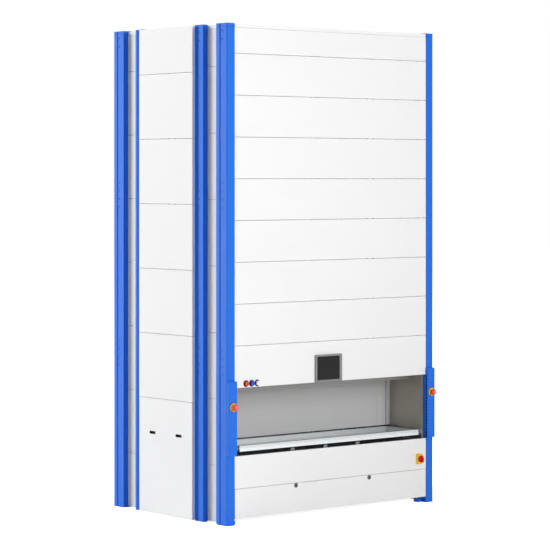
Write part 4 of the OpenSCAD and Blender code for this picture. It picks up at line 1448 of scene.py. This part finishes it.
@dataclass
class LiftDrive(SubAssembly):
    """Shaft, belts, pulleys and gearmotor that raise the carriage.

    Attributes:
        foot_x: Distance of a bearing's foot from the middle.
        foot_y: Places of a foot's two bolts along Y.
        foot_height: Height of a foot.
    """

    foot_x: float = 1574 * MM
    foot_y: tuple[float, ...] = (-50 * MM, 112 * MM)
    foot_height: float = 16 * MM

    def finishes(self) -> Mapping[str, Finish]:
        """Dresses the drive in turned steel on rubber belts, with enamelled cast housings.

        Returns:
            Nodes and their finishes.
        """
        return {
            "lift_drive_shaft": TURNED_STEEL,
            "shaft_bearings": DARK_ENAMEL,
            "lift_belts": BELT_RUBBER,
            "top_pulleys": TURNED_STEEL,
            "lift_gearmotor": DARK_ENAMEL,
        }

    def build(self) -> None:
        """Bolts the feet of the shaft bearings down."""
        low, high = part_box("shaft_bearings")
        ends = ((low.z + self.foot_height, Facing.UP), (high.z - self.foot_height, Facing.DOWN))
        spots = [
            (Vector((x, y, z)), facing)
            for x in (-self.foot_x, self.foot_x)
            for y in self.foot_y
            for z, facing in ends
        ]
        HexBolt(TURNED_STEEL).fit("bearing_bolts", "root", spots)


@dataclass
class Electrics(SubAssembly):
    """Control cabinet and the gland for the supply cable.

    Attributes:
        lock: One of the cabinet's locks.
        lock_inset: Distance of the locks from the door's left edge.
        lock_margin: Distance of the locks from the lower and upper end of the cabinet.
        lock_sink: Depth at which a lock sits in its recess.
    """

    lock: LockCore = LockCore(TURNED_STEEL, radius=10.5 * MM, height=3.5 * MM)
    lock_inset: float = 40 * MM
    lock_margin: float = 100 * MM
    lock_sink: float = 1.5 * MM

    def finishes(self) -> Mapping[str, Finish]:
        """Grey enamelled cabinet and a black polyamide gland."""
        return {"control_cabinet": GREY_ENAMEL, "cable_gland": BLACK_PLASTIC}

    def build(self) -> None:
        """Adds the two coin locks of the cabinet's door."""
        low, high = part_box("control_cabinet")
        spots = [
            (Vector((low.x + self.lock_inset, low.y + self.lock_sink, z)), Facing.FRONT)
            for z in (low.z + self.lock_margin, high.z - self.lock_margin)
        ]
        self.lock.fit("cabinet_locks", "root", spots)


@dataclass(frozen=True)
class SoftBox:
    """A large soft lamp that faces the middle of the machine.

    Attributes:
        name: Name of the lamp.
        turn: Degrees round from straight in front of the machine, towards +X.
        rise: Degrees above the level.
        away: Distance from the middle of the machine.
        width: Width of the lamp.
        height: Height of the lamp.
        watts: Power.
        aside: Degrees that the lamp is turned past the middle, anticlockwise as seen from above.
    """

    name: str
    turn: float
    rise: float
    away: float
    width: float
    height: float
    watts: float
    aside: float = 0.0

    def hang(self, middle: Vector) -> None:
        """Adds the lamp.

        Args:
            middle: Point that the lamp faces.
        """
        turn, rise = math.radians(self.turn), math.radians(self.rise)
        towards = Vector((math.sin(turn) * math.cos(rise), -math.cos(turn) * math.cos(rise), math.sin(rise)))
        light = bpy.data.lights.new(self.name, "AREA")
        light.shape = "RECTANGLE"
        light.size = self.width
        light.size_y = self.height
        light.energy = self.watts
        lamp = bpy.data.objects.new(self.name, light)
        lamp.location = middle + self.away * towards
        lamp.rotation_euler = towards.to_track_quat("Z", "Y").to_euler()
        lamp.rotation_euler.z += math.radians(self.aside)
        bpy.context.scene.collection.objects.link(lamp)


@dataclass
class Studio:
    """Pale floor, soft lamps and the camera at the photograph's angle.

    Attributes:
        camera_at: Place of the camera.
        camera_turn: Turn of the level camera about the vertical, in degrees.
        focal_mm: Focal length on a sensor 36 mm wide.
        shift_up: Lens shift that frames the machine from a level camera.
        sight: Distance as far as the camera sees.
        sky: Strength of the even light from all round.
        seen_sky: Strength of the background where a camera, glossy or glass ray meets it.
        floor_size: Side of the square floor.
        floor_colour: Colour of the floor.
        floor_roughness: Roughness of the floor.
        seen_floor: Light added to the floor where a ray that shows it meets it, so that it reads as white.
        middle: Point that the lamps face.
        lamps: The soft lamps. The first lights the front, brighter to the left, the next two the left side
            and the rear, and the last the right side.
    """

    camera_at: tuple[float, float, float] = (-19.057, -22.914, 4.144)
    camera_turn: float = -39.70
    focal_mm: float = 153.3
    shift_up: float = -0.1756
    sight: float = 500.0
    sky: float = 0.17
    seen_sky: float = 1.0
    floor_size: float = 160.0
    floor_colour: str = "#f4f4f4"
    floor_roughness: float = 0.9
    seen_floor: float = 0.85
    middle: tuple[float, float, float] = (0.0, 0.0, 3.0)
    lamps: tuple[SoftBox, ...] = (
        SoftBox("key_lamp", turn=6, rise=14, away=22, width=7, height=12, watts=3760, aside=50),
        SoftBox("side_lamp", turn=-140, rise=33, away=60, width=16, height=16, watts=26500),
        SoftBox("side_card", turn=-140.3, rise=4, away=25, width=10, height=12, watts=740),
        SoftBox("right_lamp", turn=97, rise=12, away=60, width=16, height=16, watts=12500),
    )

    def build(self) -> None:
        """Sets up colour handling, world, floor, lamps and camera."""
        scene = bpy.context.scene
        scene.view_settings.view_transform = "Standard"
        scene.world = self.world()
        self.floor()
        for lamp in self.lamps:
            lamp.hang(Vector(self.middle))
        self.camera()

    def world(self) -> bpy.types.World:
        """Even light for the machine, and plain white where the camera sees past it.

        Returns:
            The world.
        """
        world = bpy.data.worlds.new("studio_sky")
        tree = cleared(world)
        light, seen = (
            add_node(tree, "ShaderNodeBackground", {"Color": linear("#ffffff"), "Strength": strength})
            for strength in (self.sky, self.seen_sky)
        )
        sources = {0: self.seen_ray(tree), 1: light.outputs["Background"], 2: seen.outputs["Background"]}
        both = add_node(tree, "ShaderNodeMixShader", links=sources)
        add_node(tree, "ShaderNodeOutputWorld", links={"Surface": both.outputs["Shader"]})
        return world

    def seen_ray(self, tree: Tree) -> Socket:
        """Tells rays that show the background from those that light the machine.

        Args:
            tree: Node tree of the material or world.

        Returns:
            1 for camera, glossy and transmission rays, and 0 for the rest.
        """
        rays = add_node(tree, "ShaderNodeLightPath").outputs
        seen = rays["Is Camera Ray"]
        for kind in ("Is Glossy Ray", "Is Transmission Ray"):
            either = add_node(tree, "ShaderNodeMath", links={0: seen, 1: rays[kind]}, operation="MAXIMUM")
            seen = either.outputs["Value"]
        return seen

    def floor(self) -> None:
        """Adds the pale floor. It glows to the rays that show it, so that it reads as white."""
        only()
        bpy.ops.mesh.primitive_plane_add(size=self.floor_size, location=(0.0, 0.0, 0.0))
        floor = bpy.context.object
        floor.name = "studio_floor"
        material = bpy.data.materials.new("studio_floor")
        tree = cleared(material)
        seen = self.seen_ray(tree)
        glow = add_node(tree, "ShaderNodeMath", {1: self.seen_floor}, {0: seen}, operation="MULTIPLY")
        shader = add_node(
            tree,
            "ShaderNodeBsdfPrincipled",
            {
                "Base Color": linear(self.floor_colour),
                "Roughness": self.floor_roughness,
                "Emission Color": linear("#ffffff"),
                "Specular IOR Level": 0.0,
            },
            {"Emission Strength": glow.outputs["Value"]},
        )
        add_node(tree, "ShaderNodeOutputMaterial", links={"Surface": shader.outputs["BSDF"]})
        floor.data.materials.append(material)

    def camera(self) -> None:
        """Adds the level camera at the front left of the machine."""
        data = bpy.data.cameras.new("camera")
        data.lens = self.focal_mm
        data.shift_y = self.shift_up
        data.clip_end = self.sight
        camera = bpy.data.objects.new("camera", data)
        camera.location = self.camera_at
        camera.rotation_euler = (math.radians(90), 0.0, math.radians(self.camera_turn))
        bpy.context.scene.collection.objects.link(camera)
        bpy.context.scene.camera = camera


def main() -> None:
    """Builds the studio and every sub-assembly."""
    logging.basicConfig(level=logging.INFO, format="%(message)s")
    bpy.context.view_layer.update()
    Studio().build()
    machine = (
        PostFrame(),
        Cladding(),
        Controls(),
        SafetyColumns(),
        AccessBay(),
        Racks(),
        LiftCarriage(),
        LiftDrive(),
        Electrics(),
    )
    for assembly in machine:
        assembly.dress()
        assembly.build()


if __name__ == "__main__":
    main()
